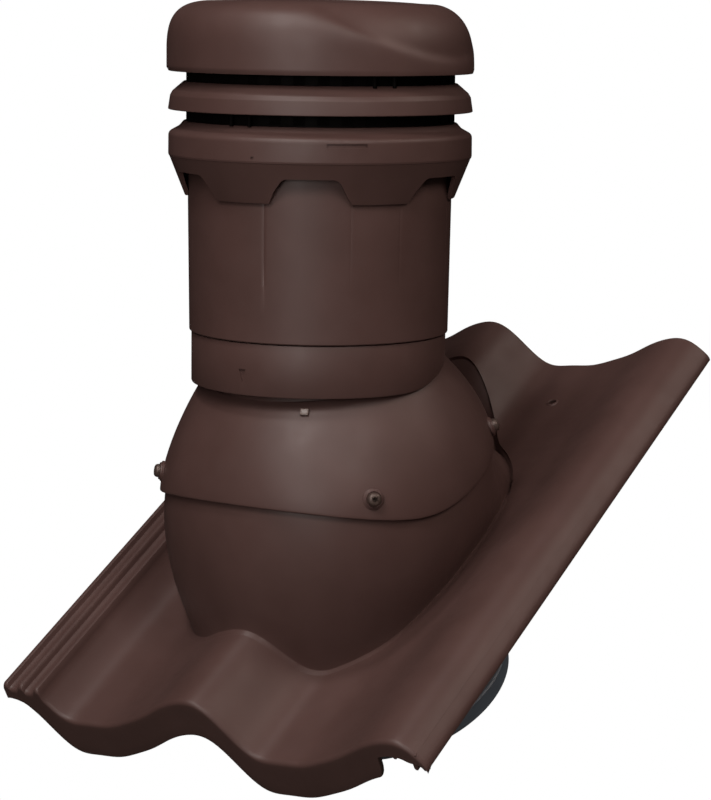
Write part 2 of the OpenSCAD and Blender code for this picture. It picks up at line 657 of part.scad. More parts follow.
module louvre_ring() color(brown) rotate_extrude($fn = fine) polygon([[head_r - head_wall, louvre_z],
    [head_r, louvre_z], [head_r - 1.4, louvre_top_z - louvre_fall - 2.2], [head_r - 2.9, louvre_top_z - louvre_fall],
    [core_r + 1, louvre_top_z], [core_r + 0.1, louvre_top_z], [core_r + 0.1, louvre_top_z - head_wall * 1.2],
    [head_r - 2 - head_wall, louvre_top_z - louvre_fall - 2.2]]);

// Pegs in pairs: three pairs hold the louvre ring off the crown, three more the cap off the louvre ring
module spacer_pegs() color(brown) for (i = [0 : 2], side = [-1, 1]) {
    peg_r = core_r + 2.6;
    foot = shoulder_z - (peg_r - core_r - 1.5) / (head_r - core_r - 2.5) * shoulder_h + 0.9;
    ring = louvre_top_z - (peg_r - core_r - 1) / (head_r - core_r - 3.9) * louvre_fall;
    rotate([0, 0, 120 * i - 90 + side * 4.4]) translate([peg_r, 0, foot])
        cylinder(r = 1.3, h = ring - head_wall * 1.2 - 1.6 - foot, $fn = 16);
    rotate([0, 0, 120 * i - 30 + side * 4.4]) translate([peg_r, 0, ring + 0.9])
        cylinder(r = 1.3, h = core_top - ring - 0.9, $fn = 16);
}

// Fine upright bars inside the core that keep insects out
module insect_guard() color(black) difference() {
    tube(core_r - 2.3, core_r - 3.5, seat_z + 3.1, core_top);
    for (i = [0 : 71]) rotate([0, 0, 5 * (i + 0.5)])
        translate([core_r - 8, -2.4, shoulder_z]) cube([12, 4.8, core_top - shoulder_z - 4]);
}

// Gutter that catches the drops from the deflector and leads them outside the duct
module condensate_ring() color(grey) {
    low = shoulder_z - 2;
    bore = duct_out + gap;
    rotate_extrude($fn = fine) polygon([[bore, low], [bore + 9, low], [bore + 9, low + 8],
        [bore + 7.4, low + 8], [bore + 7.4, low + 1.8], [bore, low + 1.8]]);
}

// Cone on the vent core that turns the air outwards
module deflector() color(grey) {
    low = core_top - 16;
    high = core_top + gap;
    rim = duct_r - 4.5;
    rotate_extrude($fn = fine) polygon([[0, low], [4, low], [rim, high], [core_r - 0.2, high],
        [core_r - 0.2, high + 2], [rim - 1, high + 2], [4, low + 2.4], [0, low + 2.4]]);
}

// Section of the cap out to radius r, from its lower edge to its top
module cap_section(r, low, top, flat_r) {
    curve = [for (k = [0 : 12]) let (a = 90 * k / 12, q = squared(a, 3))
        [flat_r + (r - 0.6 - flat_r) * q * cos(a), cap_wall_z + (top - cap_wall_z) * q * sin(a)]];
    polygon([[0, low], [r, low], each curve, [0, top + 1.3]]);
}

// Sloping plane that cuts the cap on the +X side
module cap_slope(raise) {
    slope = 31;
    translate([head_r - 1, 0, cap_wall_z - 5 + raise]) rotate([0, slope, 0])
        translate([-far / 2, -far / 2, 0]) cube([far, far, 80]);
}

// Cap: a drum with a round shoulder and one long sloping facet, and a shelf that rests on the pegs
module cap_shell() color(brown) {
    difference() {
        rotate_extrude($fn = fine) cap_section(head_r, cap_z, cap_top_z, head_r - cap_crown_h - 0.5);
        cap_slope(0);
        difference() {
            rotate_extrude($fn = fine) cap_section(head_r - head_wall, cap_z - 10, cap_top_z - head_wall,
                head_r - cap_crown_h - 2.5);
            cap_slope(-head_wall * 1.15);
        }
    }
    difference() {
        tube(head_r - head_wall / 2, core_r + 0.6, core_top + gap, core_top + gap + 2);
        cap_slope(-1);
    }
}

tile_plate();
dome_base();
dome_hood();
dome_screws();
dome_washers();
clamp_plates();
lock_collar();
collar_gasket();
pipe_shell();
pipe_foot_ring();
insulation_sleeve();
inner_duct();
duct_lip_seal();
ball_duct();
ball_cup();
cup_seal();
roof_sleeve();
support_flange();
flange_screws();
sleeve_end_ring();
sleeve_lip_seal();
vent_core();
crown_skirt();
louvre_ring();
spacer_pegs();
insect_guard();
condensate_ring();
deflector();
cap_shell();
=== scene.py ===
import math

import bmesh
import bpy
import numpy as np
from mathutils import Matrix, Vector


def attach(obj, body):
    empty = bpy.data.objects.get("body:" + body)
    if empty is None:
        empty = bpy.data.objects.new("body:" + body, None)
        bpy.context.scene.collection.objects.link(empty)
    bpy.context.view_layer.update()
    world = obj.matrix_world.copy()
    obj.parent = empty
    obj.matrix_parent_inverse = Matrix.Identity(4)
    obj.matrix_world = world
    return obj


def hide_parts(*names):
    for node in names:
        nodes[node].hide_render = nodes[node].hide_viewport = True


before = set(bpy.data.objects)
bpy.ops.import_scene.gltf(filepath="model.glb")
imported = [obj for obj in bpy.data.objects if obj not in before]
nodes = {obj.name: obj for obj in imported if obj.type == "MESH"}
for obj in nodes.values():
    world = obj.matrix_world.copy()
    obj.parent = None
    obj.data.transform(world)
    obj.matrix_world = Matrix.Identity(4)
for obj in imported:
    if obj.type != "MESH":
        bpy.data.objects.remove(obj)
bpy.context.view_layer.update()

mm = 0.001
roofPitch = math.radians(28.5)
swivel = np.array([0.0, 18.0, 51.0])

# Materials


def linear(hexCode):
    out = []
    for i in (1, 3, 5):
        c = int(hexCode[i:i + 2], 16) / 255
        out.append(c / 12.92 if c <= 0.04045 else ((c + 0.055) / 1.055) ** 2.4)
    return (*out, 1.0)


def addNode(tree, kind, inputs=None, **settings):
    node = tree.nodes.new(kind)
    for key, value in settings.items():
        setattr(node, key, value)
    for key, value in (inputs or {}).items():
        if isinstance(value, bpy.types.NodeSocket):
            tree.links.new(value, node.inputs[key])
        else:
            node.inputs[key].default_value = value
    return node


def newMaterial(name):
    material = bpy.data.materials.new(name)
    material.use_nodes = True
    tree = material.node_tree
    shader = tree.nodes["Principled BSDF"]
    place = addNode(tree, "ShaderNodeTexCoord").outputs["Object"]
    return material, tree, shader, place


def noise(tree, place, perMetre, detail=3.0, roughness=0.5):
    node = addNode(tree, "ShaderNodeTexNoise", {"Vector": place, "Scale": perMetre, "Detail": detail,
                                                "Roughness": roughness})
    return node.outputs["Fac"]


def spread(tree, value, low, high):
    return addNode(tree, "ShaderNodeMapRange", {"Value": value, "From Min": 0.3, "From Max": 0.7,
                                                "To Min": low, "To Max": high}).outputs["Result"]


def blendColours(tree, factor, a, b):
    node = addNode(tree, "ShaderNodeMix", data_type="RGBA")
    tree.links.new(factor, node.inputs["Factor"])
    node.inputs["A"].default_value = linear(a)
    node.inputs["B"].default_value = linear(b)
    return node.outputs["Result"]


# Injection-moulded plastic: two close tones, a spark-eroded grain and slow flow unevenness.
def mouldedPlastic(name, dark, light, roughLow, roughHigh, grainDepth, grainPerMetre=2600):
    material, tree, shader, place = newMaterial(name)
    tone = spread(tree, noise(tree, place, 26, 4.0), 0.0, 1.0)
    tree.links.new(blendColours(tree, tone, dark, light), shader.inputs["Base Color"])
    tree.links.new(spread(tree, noise(tree, place, 90, 5.0), roughLow, roughHigh), shader.inputs["Roughness"])
    grain = addNode(tree, "ShaderNodeBump", {"Height": noise(tree, place, grainPerMetre, 2.0),
                                             "Strength": 0.5, "Distance": grainDepth * mm})
    flow = addNode(tree, "ShaderNodeBump", {"Height": noise(tree, place, 14, 1.0), "Strength": 0.35,
                                            "Distance": 0.5 * mm, "Normal": grain.outputs["Normal"]})
    tree.links.new(flow.outputs["Normal"], shader.inputs["Normal"])
    shader.inputs["IOR"].default_value = 1.47
    return material


# Matt polypropylene, dyed through: it shows as one even dark chocolate with a soft, wide highlight.
brownPlastic = mouldedPlastic("chocolate_moulded_plastic", "#523b37", "#59413d", 0.44, 0.52, 0.04)
# The trimmed gate mark is smoother plastic; its paler tone is painted highlight for the glint on its flat
# face.
glintPaintedBrown = mouldedPlastic("chocolate_plastic_painted_glint", "#6a5750", "#726059", 0.24, 0.30, 0.02)
# Painted shade: deep in the air gaps the same plastic is made nearly black.
gapShadeBrown = mouldedPlastic("chocolate_plastic_painted_gap_shade", "#090606", "#0d0908", 0.6, 0.7, 0.05)
# Black plastic given a mid-grey colour: painted light for the fill that the lamps don't give the sleeve.
blackPlasticPaintedFill = mouldedPlastic("black_ribbed_pipe_plastic_painted_fill_light", "#68737f", "#727e8b", 0.38, 0.48, 0.04)
greyPlastic = mouldedPlastic("grey_duct_plastic", "#6b6e70", "#747779", 0.42, 0.52, 0.04)
sealRubber = mouldedPlastic("black_seal_rubber", "#151516", "#1b1b1c", 0.62, 0.78, 0.03, 3400)


# Black insect mesh, too fine to model: small cells in its bump and tone. Its near-black colour is also
# painted shade for the deep air gaps.
def insectMesh():
    material, tree, shader, place = newMaterial("black_insect_mesh_painted_shade")
    cells = addNode(tree, "ShaderNodeTexVoronoi", {"Vector": place, "Scale": 900.0}).outputs["Distance"]
    tree.links.new(blendColours(tree, cells, "#060404", "#0b0807"), shader.inputs["Base Color"])
    weave = addNode(tree, "ShaderNodeBump", {"Height": cells, "Strength": 0.8, "Distance": 0.3 * mm})
    tree.links.new(weave.outputs["Normal"], shader.inputs["Normal"])
    shader.inputs["Roughness"].default_value = 0.9
    return material


# Screw steel with a brown coat that is worn paler in small patches.
def coatedSteel():
    material, tree, shader, place = newMaterial("brown_coated_screw_steel")
    wear = spread(tree, noise(tree, place, 900, 4.0), 0.0, 1.0)
    tree.links.new(blendColours(tree, wear, "#4c3c37", "#66564f"), shader.inputs["Base Color"])
    tree.links.new(spread(tree, noise(tree, place, 600, 3.0), 0.30, 0.45), shader.inputs["Roughness"])
    scratch = addNode(tree, "ShaderNodeBump", {"Height": noise(tree, place, 5200, 3.0), "Strength": 0.4,
                                               "Distance": 0.03 * mm})
    tree.links.new(scratch.outputs["Normal"], shader.inputs["Normal"])
    shader.inputs["Metallic"].default_value = 0.35
    return material


# Zinc-plated steel: a grey spangle, with slightly uneven roughness.
def zincSteel():
    material, tree, shader, place = newMaterial("zinc_plated_steel")
    cells = addNode(tree, "ShaderNodeTexVoronoi", {"Vector": place, "Scale": 420.0}).outputs["Distance"]
    tree.links.new(blendColours(tree, cells, "#a4a8ab", "#bcc0c2"), shader.inputs["Base Color"])
    tree.links.new(spread(tree, noise(tree, place, 700, 3.0), 0.28, 0.42), shader.inputs["Roughness"])
    shader.inputs["Metallic"].default_value = 1.0
    return material


# Grey moulded foam: dimpled by cells about 1.4 mm across.
def softFoam():
    material, tree, shader, place = newMaterial("grey_insulation_foam")
    cells = addNode(tree, "ShaderNodeTexVoronoi", {"Vector": place, "Scale": 700.0}).outputs["Distance"]
    tree.links.new(blendColours(tree, cells, "#7d8083", "#94979a"), shader.inputs["Base Color"])
    dimple = addNode(tree, "ShaderNodeBump", {"Height": cells, "Strength": 0.6, "Distance": 0.3 * mm})
    tree.links.new(dimple.outputs["Normal"], shader.inputs["Normal"])
    shader.inputs["Roughness"].default_value = 0.85
    return material


screwSteel = coatedSteel()
guardPaintedShade = insectMesh()
# Painted shade of the air gaps: the near-black core plastic and the guard also reflect little light.
for material in (gapShadeBrown, guardPaintedShade):
    material.node_tree.nodes["Principled BSDF"].inputs["Specular IOR Level"].default_value = 0.08
zinc = zincSteel()
foam = softFoam()

# Pieces whose CAD mesh is kept as it is, with its material
keptPieces = {
    "clamp_plates": zinc, "collar_gasket": sealRubber, "pipe_foot_ring": brownPlastic,
    "insulation_sleeve": foam, "inner_duct": greyPlastic, "condensate_ring": greyPlastic,
    # ball_cup, roof_sleeve, support_flange and sleeve_end_ring take the black plastic lightened as painted
    # light
    "duct_lip_seal": sealRubber, "ball_duct": greyPlastic, "ball_cup": blackPlasticPaintedFill, "cup_seal": sealRubber,
    "roof_sleeve": blackPlasticPaintedFill, "support_flange": blackPlasticPaintedFill, "flange_screws": zinc,
    # vent_core takes the near-black plastic that is painted shade for the air gaps
    "sleeve_end_ring": blackPlasticPaintedFill, "sleeve_lip_seal": sealRubber, "vent_core": gapShadeBrown,
    "deflector": greyPlastic}
for nodeName, material in keptPieces.items():
    node = nodes[nodeName]
    node.data.materials.clear()
    node.data.materials.append(material)
print("materials done")

# Mesh tools


def meshObject(name, points, faces):
    mesh = bpy.data.meshes.new(name)
    mesh.from_pydata((np.asarray(points, float) * mm).tolist(), [], [list(map(int, f)) for f in faces])
    mesh.validate()
    turnOutwards(mesh)
    obj = bpy.data.objects.new(name, mesh)
    bpy.context.scene.collection.objects.link(obj)
    return obj


# Object from points in millimetres, smooth apart from edges sharper than crease degrees.
def addMesh(name, points, faces, material, body, slot, replaced=(), crease=32):
    obj = meshObject(name, points, faces)
    obj.data.materials.append(material)
    soften(obj, crease)
    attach(obj, body)
    if replaced:
        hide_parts(*replaced)
    return obj


def turnOutwards(mesh):
    edit = bmesh.new()
    edit.from_mesh(mesh)
    bmesh.ops.recalc_face_normals(edit, faces=edit.faces)
    edit.to_mesh(mesh)
    edit.free()
    mesh.update()


def soften(obj, crease):
    mesh = obj.data
    mesh.polygons.foreach_set("use_smooth", np.ones(len(mesh.polygons), bool))
    mesh.set_sharp_from_angle(angle=math.radians(crease))
    mesh.update()


def step01(value, low, high):
    t = np.clip((value - low) / (high - low), 0, 1)
    return t * t * (3 - 2 * t)


# Point on a parabola from start to end whose end tangents meet at corner.
def bend(start, corner, end, t):
    return (1 - t) ** 2 * start + 2 * t * (1 - t) * corner + t * t * end


# The larger of two values, with a round change over a width of about blend.
def softMax(u, v, blend):
    return (u + v) / 2 + np.sqrt(((u - v) / 2) ** 2 + blend ** 2)


# Quads of a grid whose point (r, c) has the index r * columns + c.
def gridFaces(rows, columns, closedRows, closedColumns):
    r = np.arange(rows if closedRows else rows - 1)
    c = np.arange(columns if closedColumns else columns - 1)
    r, c = np.meshgrid(r, c, indexing="ij")
    r, c = r.ravel(), c.ravel()
    rn, cn = (r + 1) % rows, (c + 1) % columns
    quads = np.stack([r * columns + c, r * columns + cn, rn * columns + cn, rn * columns + c], 1)
    return quads.tolist()


# One ring of points for each (radius, height) pair, with angles in radians.
def ringRows(angles, pairs):
    return [np.stack([r * np.cos(angles), r * np.sin(angles), z + 0 * angles], -1) for r, z in pairs]


# Solid from rows of points that run along it and follow each other round it, with a face at each end.
def closedTube(rows):
    count, columns = len(rows), len(rows[0])
    near = [row * columns for row in range(count)]
    ends = [near, [i + columns - 1 for i in near][::-1]]
    return np.array(rows).reshape(-1, 3), gridFaces(count, columns, True, False) + ends


# Points and faces of several (points, faces) pairs as one pair.
def joined(parts):
    allPoints, allFaces, first = [], [], 0
    for points, faces in parts:
        allPoints.append(np.asarray(points, float).reshape(-1, 3))
        allFaces += [[i + first for i in f] for f in faces]
        first += len(allPoints[-1])
    return np.concatenate(allPoints), allFaces


# Profile through corners (u, v, radius), each turned into an arc of about that radius.
def rounded(corners, steps=6):
    pts = [np.array(c[:2], float) for c in corners]
    out = []
    count = len(corners)
    for i in range(count):
        p, r = pts[i], corners[i][2] if len(corners[i]) > 2 else 0
        if not r:
            out.append(p)
            continue
        a, b = pts[i - 1] - p, pts[(i + 1) % count] - p
        la, lb = np.linalg.norm(a), np.linalg.norm(b)
        half = math.acos(np.clip(a @ b / la / lb, -1, 1)) / 2
        cut = min(r / max(math.tan(half), 1e-3), 0.49 * la, 0.49 * lb)
        start, end = p + a / la * cut, p + b / lb * cut
        for k in range(steps + 1):
            t = k / steps
            out.append(bend(start, p, end, t))
    return np.array(out)


# Points and faces of a closed (radius, height) profile turned about Z.
# offset(angle, radius, height) may add to the radius.
def lathe(profile, columns=192, offset=None, angles=None):
    angles = np.linspace(0, 2 * np.pi, columns, endpoint=False) if angles is None else np.asarray(angles)
    r, z = profile[:, 0][:, None], profile[:, 1][:, None]
    a = angles[None, :]
    r = r + 0 * a
    if offset is not None:
        r = r + offset(a, r, z + 0 * a)
    pts = np.stack([r * np.cos(a), r * np.sin(a), z + 0 * r], -1)
    return pts.reshape(-1, 3), gridFaces(len(profile), len(angles), True, True)


# Rotation whose third column is direction.
def facing(direction):
    z = np.asarray(direction, float) / np.linalg.norm(direction)
    x = np.cross([0, 1, 0], z)
    if np.linalg.norm(x) < 1e-3:
        x = np.cross([1, 0, 0], z)
    x /= np.linalg.norm(x)
    return np.stack([x, np.cross(z, x), z], 1)


# Cuts the cutter's solid out of obj, in place.
def subtract(obj, cutter, crease):
    mod = obj.modifiers.new("cut", "BOOLEAN")
    mod.operation = "DIFFERENCE"
    mod.solver = "EXACT"
    mod.object = cutter
    graph = bpy.context.evaluated_depsgraph_get()
    cut = bpy.data.meshes.new_from_object(obj.evaluated_get(graph))
    obj.modifiers.remove(mod)
    old = obj.data
    obj.data = cut
    bpy.data.meshes.remove(old)
    bpy.data.objects.remove(cutter)
    soften(obj, crease)


# Points and faces of a prism over an outline of (u, v) points, between heights low and high.
def prism(outline, low, high):
    n = len(outline)
    pts = [[u, v, w] for w in (low, high) for u, v in outline]
    faces = [list(range(n))[::-1], [n + i for i in range(n)]]
    faces += [[i, (i + 1) % n, n + (i + 1) % n, n + i] for i in range(n)]
    return np.array(pts, float), faces


# Shapes shared by the pieces, in millimetres


# Point across the roof, up the slope and square to it, as x, y, z.
def onRoof(x, s, h):
    c, k = math.cos(roofPitch), math.sin(roofPitch)
    x, s, h = np.broadcast_arrays(x, s, h)
    return np.stack([x, s * c - h * k, s * k + h * c], -1)


tile = dict(right=171.4, eave=-155.0, ridge=267.0, sheet=3.2, lip=27.9, lipWall=3.5, edge=3.0, lapStart=137.6,
            lapLip=12.5, lapLipRise=8.5, lipRise=6.5, lockEnd=-123.6, lockUnder=2.6)
tileLength = tile["ridge"] - tile["eave"]
# Rolls of the tile: their pitch, the place of a crest, how much deeper and lower they are at the eave than at
# the ridge, and (harmonic, cosine part, sine part) of their height
roll = dict(pitch=150.0, crest=-9.2, eaveDeeper=2.41, eaveLower=2.65,
            terms=[(1, 17.5, 0.0), (2, 2.38, 3.67), (3, -1.22, 0.94), (4, -0.28, -0.6)])


# Height of the rolls: four harmonics of their pitch, a little deeper at the eave than at the ridge.
def wave(x, s=56.0):
    t = 2 * np.pi * (np.asarray(x, float) - roll["crest"]) / roll["pitch"]
    h = sum(a * np.cos(k * t) + b * np.sin(k * t) for k, a, b in roll["terms"])
    eave = (tile["ridge"] - np.asarray(s, float)) / tileLength - 0.5
    return h + eave * (roll["eaveDeeper"] * np.cos(t) - roll["eaveLower"])


# Radius factor of a superellipse of power n at angle a.
def squared(a, n):
    return (np.abs(np.cos(a)) ** n + np.abs(np.sin(a)) ** n) ** (-1 / n)


hood = dict(a=106.1, b=108.5, n=2.22, y=12.1, topR=77.5, topY=5.7, topZ=137.5, tilt=math.radians(10.3),
            rimZ=41.9, rimY=-22.6, front=math.tan(math.radians(12.1)), rear=math.tan(math.radians(22.4)),
            blend=11.6, power=1.75, fall=0.93, wall=2.4, gap=1.0)
# Foot of the dome on the tile: its middle, its half lengths and the power of its superellipse
foot = dict(x=-4.4, s=49.0, halfWide=97.4, halfLong=133.4, power=2.24)


def rimHeight(y):
    away = y - hood["rimY"]
    return softMax(hood["rimZ"] - hood["front"] * away, hood["rimZ"] + hood["rear"] * away, hood["blend"])


# Hood surface at angle a: t = 0 on the rim's superellipse, t = 1 on the tilted top circle.
# Between them the radius falls as (1 - t^power)^fall.
def hoodPoint(a, t, inset):
    h = hood
    a, t, inset = np.broadcast_arrays(a, t, inset)
    r = squared(a, h["n"] + (2 - h["n"]) * t)
    xb, yb = (h["a"] - inset) * r * np.cos(a), h["y"] + (h["b"] - inset) * r * np.sin(a)
    low = rimHeight(yb)
    top = h["topR"] - inset
    xt, yt = top * np.cos(a), h["topY"] + top * np.sin(a) * math.cos(h["tilt"])
    high = h["topZ"] + top * np.sin(a) * math.sin(h["tilt"])
    w = np.maximum(0, 1 - t ** h["power"]) ** h["fall"]
    return np.stack([xt + (xb - xt) * w, yt + (yb - yt) * w, low + (high - low) * t], -1)


# Foot of the base: a superellipse on the tile, grown by grow and raised by lift.
def footPoint(a, grow, lift):
    r = squared(a, foot["power"])
    x = foot["x"] + (foot["halfWide"] + grow) * r * np.cos(a)
    s = foot["s"] + (foot["halfLong"] + grow) * r * np.sin(a)
    return onRoof(x, s, wave(x, s) + lift)


# Tile plate

lockProfile = [(-154.0, -1.2), (-154.0, 3.4), (-153.6, 4.4), (-152.8, 4.8), (-151.4, 4.8), (-150.6, 4.4),
               (-150.0, 3.0), (-149.4, 1.7), (-148.4, 1.2), (-146.5, 1.1), (-144.2, 1.1), (-143.0, 1.5),
               (-142.2, 2.8), (-141.6, 4.3), (-140.8, 4.9), (-138.9, 4.9), (-138.1, 4.4), (-137.5, 3.0),
               (-136.9, 1.2), (-135.8, 0.5), (-134.0, 0.3), (-131.8, 0.3), (-130.4, 0.7), (-129.4, 2.0),
               (-128.7, 3.6), (-127.9, 4.4), (-126.6, 4.5), (-125.6, 4.1), (-124.9, 3.0), (-124.2, 0.6)]


# Closed loops of points along the slope, one for each place across the roof.
# A loop runs down the top, round the eave, down its lip and back underneath.
def tileShell():
    t = tile
    middle = (t["ridge"] + t["eave"]) / 2
    right = t["right"]
    waveX = np.concatenate([np.linspace(t["lockEnd"], 134.4, 108),
                            [135.4, 136.3, 136.9, 137.3, t["lapStart"]],
                            np.linspace(138.2, right - 1.6, 22), [right - 0.9, right - 0.3, right]])
    x = np.concatenate([[p[0] for p in lockProfile], waveX])
    isLock = np.arange(len(x)) < len(lockProfile)
    edgeDrop = np.zeros(len(x))
    edgeDrop[-3:] = [0.3, 0.9, 2.0]
    lockTop = np.concatenate([[p[1] for p in lockProfile], np.zeros(len(waveX))])

    def top(s):
        return np.where(isLock, lockTop + 0.4 * (s - middle) / tileLength, wave(x, s) - edgeDrop)

    slope = np.gradient(wave(x, middle), x + 1e-6 * np.arange(len(x)))
    thick = np.where(isLock, lockTop + t["lockUnder"], t["sheet"] * np.sqrt(1 + slope ** 2))
    thick[0] = 1.0
    thick[-3:] = [2.9, 2.3, 1.1]
    lipDepth = t["lip"] - t["lipRise"] * np.clip((x - 134.4) / 2.9, 0, 1) ** 3
    lapDepth = t["lapLip"] - t["lapLipRise"] * step01(x, 158, 171)
    lipDepth = np.where(x > t["lapStart"] - 0.1, lapDepth, lipDepth)
    lipDepth = np.maximum(lipDepth, thick + 0.5)
    lipLow = wave(x, t["eave"]) - lipDepth
    rows = []

    def row(s, h):
        rows.append(onRoof(x, s + 0 * x, h))

    for s in np.concatenate([[t["ridge"] - 0.5], np.linspace(t["ridge"] - 2.5, t["eave"] + t["edge"], 86)]):
        row(s, top(s))
    eaveTop = top(t["eave"])
    for k in range(1, 7):
        turnAngle = k / 6 * math.pi / 2
        back, down = t["edge"] * (1 - math.sin(turnAngle)), t["edge"] * (1 - math.cos(turnAngle))
        row(t["eave"] + back, eaveTop - down)
    for k in (0.15, 0.4, 0.7, 0.94):
        row(t["eave"], eaveTop - t["edge"] + (lipLow - eaveTop + t["edge"]) * k)
    for inwards, up in ((0.25, 0.3), (1.0, 0), (t["lipWall"] - 0.8, 0), (t["lipWall"], 0.7)):
        row(t["eave"] + inwards, lipLow + up)
    under = eaveTop - thick
    inner = np.minimum(under - 0.05, lipLow + 3)
    row(t["eave"] + t["lipWall"], np.minimum(inner, under - 1.5))
    row(t["eave"] + t["lipWall"] + 0.2, under - 0.5)
    row(t["eave"] + t["lipWall"] + 1.5, top(t["eave"] + 5) - thick)
    for s in np.linspace(t["eave"] + 12, t["ridge"] - 6, 40):
        row(s, top(s) - thick)
    row(t["ridge"] - 0.5, top(t["ridge"]) - thick)
    row(t["ridge"], top(t["ridge"]) - thick + 0.5)
    row(t["ridge"], top(t["ridge"]) - 0.6)
    return closedTube(rows)


# Rib along the slope under the overlap roll, with its lower edges cut back.
def underRib(x, width, depth):
    profile = [(-width / 2 - 0.6, 0), (-width / 2, -depth + 1.2), (-width / 4, -depth), (width / 4, -depth),
               (width / 2, -depth + 1.2), (width / 2 + 0.6, 0)]
    s = np.linspace(tile["eave"] + 0.6, tile["ridge"] - 30, 40)
    rows = [onRoof(x + u, s, wave(x, s) - 2.0 + v) for u, v in profile]
    return closedTube(rows)


# Block under the sheet whose top follows the roll.
def underBlock(x0, x1, s0, s1, low):
    across = np.linspace(x0, x1, 9)
    rows = [onRoof(across, s, h) for s, h in ((s0, low), (s1, low), (s1, wave(across, s1) - 1.5),
                                              (s0, wave(across, s0) - 1.5))]
    return closedTube(rows)


hook = dict(wide=22.0, fromRidge=34.0, thick=5.0, low=-44.0, webThick=3.0, webEnd=13.5, webLow=-30.0)


# Hook with two webs; its face towards the eave hangs on the batten.
def battenHook(x):
    face = tile["ridge"] - hook["fromRidge"]
    back, webEnd = face + hook["thick"], tile["ridge"] - hook["webEnd"]
    left, right = x - hook["wide"] / 2, x + hook["wide"] / 2
    webs = [underBlock(start, start + hook["webThick"], back - 0.2, webEnd, hook["webLow"])
            for start in (left, right - hook["webThick"])]
    return joined([underBlock(left, right, face, back, hook["low"])] + webs)


def flangeBoss(x, s):
    a = np.linspace(0, 2 * np.pi, 28, endpoint=False)
    rows = []
    top = wave(x + 5.5 * np.cos(a), s)
    for r, h in ((5.5, top - 1.6), (5.5, -25.2), (5.0, -25.7), (2.9, -25.7), (2.9, top - 4)):
        rows.append(onRoof(x + r * np.cos(a), s + r * np.sin(a), h + 0 * a))
    return np.array(rows).reshape(-1, 3), gridFaces(5, 28, False, True)


# Solid square to the roof through the tile, over a superellipse round (x, s).
def roofPunch(x, s, halfWide, halfLong, power, steps):
    a = np.linspace(0, 2 * np.pi, steps, endpoint=False)
    r = squared(a, power)
    outline = np.stack([x + halfWide * r * np.cos(a), s + halfLong * r * np.sin(a)], -1)
    points, faces = prism(outline, -60, 60)
    return onRoof(points[:, 0], points[:, 1], points[:, 2]), faces


nail = dict(r=2.6, places=((65.8, 221.0), (-84.2, 221.0)))
flangeScrew = dict(across=88.0, along=82.0)
openingInset = 9.0  # from the dome's foot to the hole in the tile beneath it
plate = addMesh("tilePlate", *tileShell(), brownPlastic, "roof_tile", "brown_plastic", ("tile_plate",), 34)
punches = [roofPunch(foot["x"], foot["s"], foot["halfWide"] - openingInset, foot["halfLong"] - openingInset,
                     foot["power"], 96)]
punches += [roofPunch(x, s, nail["r"], nail["r"], 2, 24) for x, s in nail["places"]]
subtract(plate, meshObject("cutter", *joined(punches)), 34)


# Small raised rim round a nail hole.
def nailRim(x, s):
    a = np.linspace(0, 2 * np.pi, 24, endpoint=False)
    profile = ((nail["r"], -1.5), (nail["r"], 0.4), (3.0, 0.75), (3.6, 0.7), (4.3, 0.2), (4.8, -0.3))
    rows = [onRoof(x + r * np.cos(a), s + r * np.sin(a), wave(x + r * np.cos(a), s) + h) for r, h in profile]
    return np.array(rows).reshape(-1, 3), gridFaces(6, 24, False, True)


rib = dict(places=(150.0, 163.5), wide=3.0, deep=12.0)
underside = [underRib(x, rib["wide"], rib["deep"]) for x in rib["places"]]
underside += [battenHook(x) for x in (roll["crest"], roll["crest"] + 0.85 * roll["pitch"])]
underside += [flangeBoss(foot["x"] + i * flangeScrew["across"], foot["s"] + j * flangeScrew["along"])
              for i in (-1, 1) for j in (-1, 1)]
underside += [nailRim(x, s) for x, s in nail["places"]]
addMesh("tileUnderside", *joined(underside), brownPlastic, "roof_tile", "brown_plastic", ("tile_plate",))
print("tile done")

# Dome base


# Recess of the tile behind the dome. Its edge is a share of the foot's superellipse, small at the sides and
# larger in a tongue up the slope. Turns are in degrees from the slope's line.
recess = dict(side=1.027, tongue=0.271, tongueFull=1.5, tongueEnd=33.0, groove=3.4, deepest=11.0, deepFull=6,
              deepEnd=42, startLow=0.38, startHigh=0.58, floorSlope=0.3)
base = dict(wall=2.4, fillet=1.035, filletTop=0.91, lip=0.45, lipIn=5.0, gapBehind=1.6, startOut=0.041,
            startDown=0.505, steps=288)


# Inset from the hood's skin to the base's: their gap is wider behind, where the hood turns down.
def baseInset(a):
    return hood["wall"] + hood["gap"] + base["gapBehind"] * step01(np.sin(a), 0.66, 1.0)


# Base wall from under the rim, t = 0, to the foot, t = 1: a parabola that starts almost straight down.
def wallPoint(a, t, inset):
    top = hoodPoint(a, 0, baseInset(a) + inset)
    low = footPoint(a, -inset, 1.1)
    tall = (top - low) @ np.array([0, -math.sin(roofPitch), math.cos(roofPitch)])
    out, down = base["startOut"], base["startDown"]
    turn = top + np.stack([out * top[..., 0], out * (top[..., 1] - hood["y"]), -down * tall], -1)
    t = np.asarray(t, float)[..., None]
    return bend(top, turn, low, t)


# Degrees between an angle of the foot and the slope's line.
def offSlope(a):
    return np.abs(np.degrees(a) - 90)


# Share of the foot's superellipse at which the recess ends in the tile.
def recessEdge(a):
    fade = step01(offSlope(a), recess["tongueFull"], recess["tongueEnd"])
    return recess["side"] + recess["tongue"] * (1 - fade)


# Point over the tile at a share of the foot's superellipse, raised by lift.
def recessPoint(a, share, lift):
    r = squared(a, foot["power"])
    x = foot["x"] + foot["halfWide"] * share * r * np.cos(a)
    s = foot["s"] + foot["halfLong"] * share * r * np.sin(a)
    return onRoof(x, s, wave(x, s) + lift)


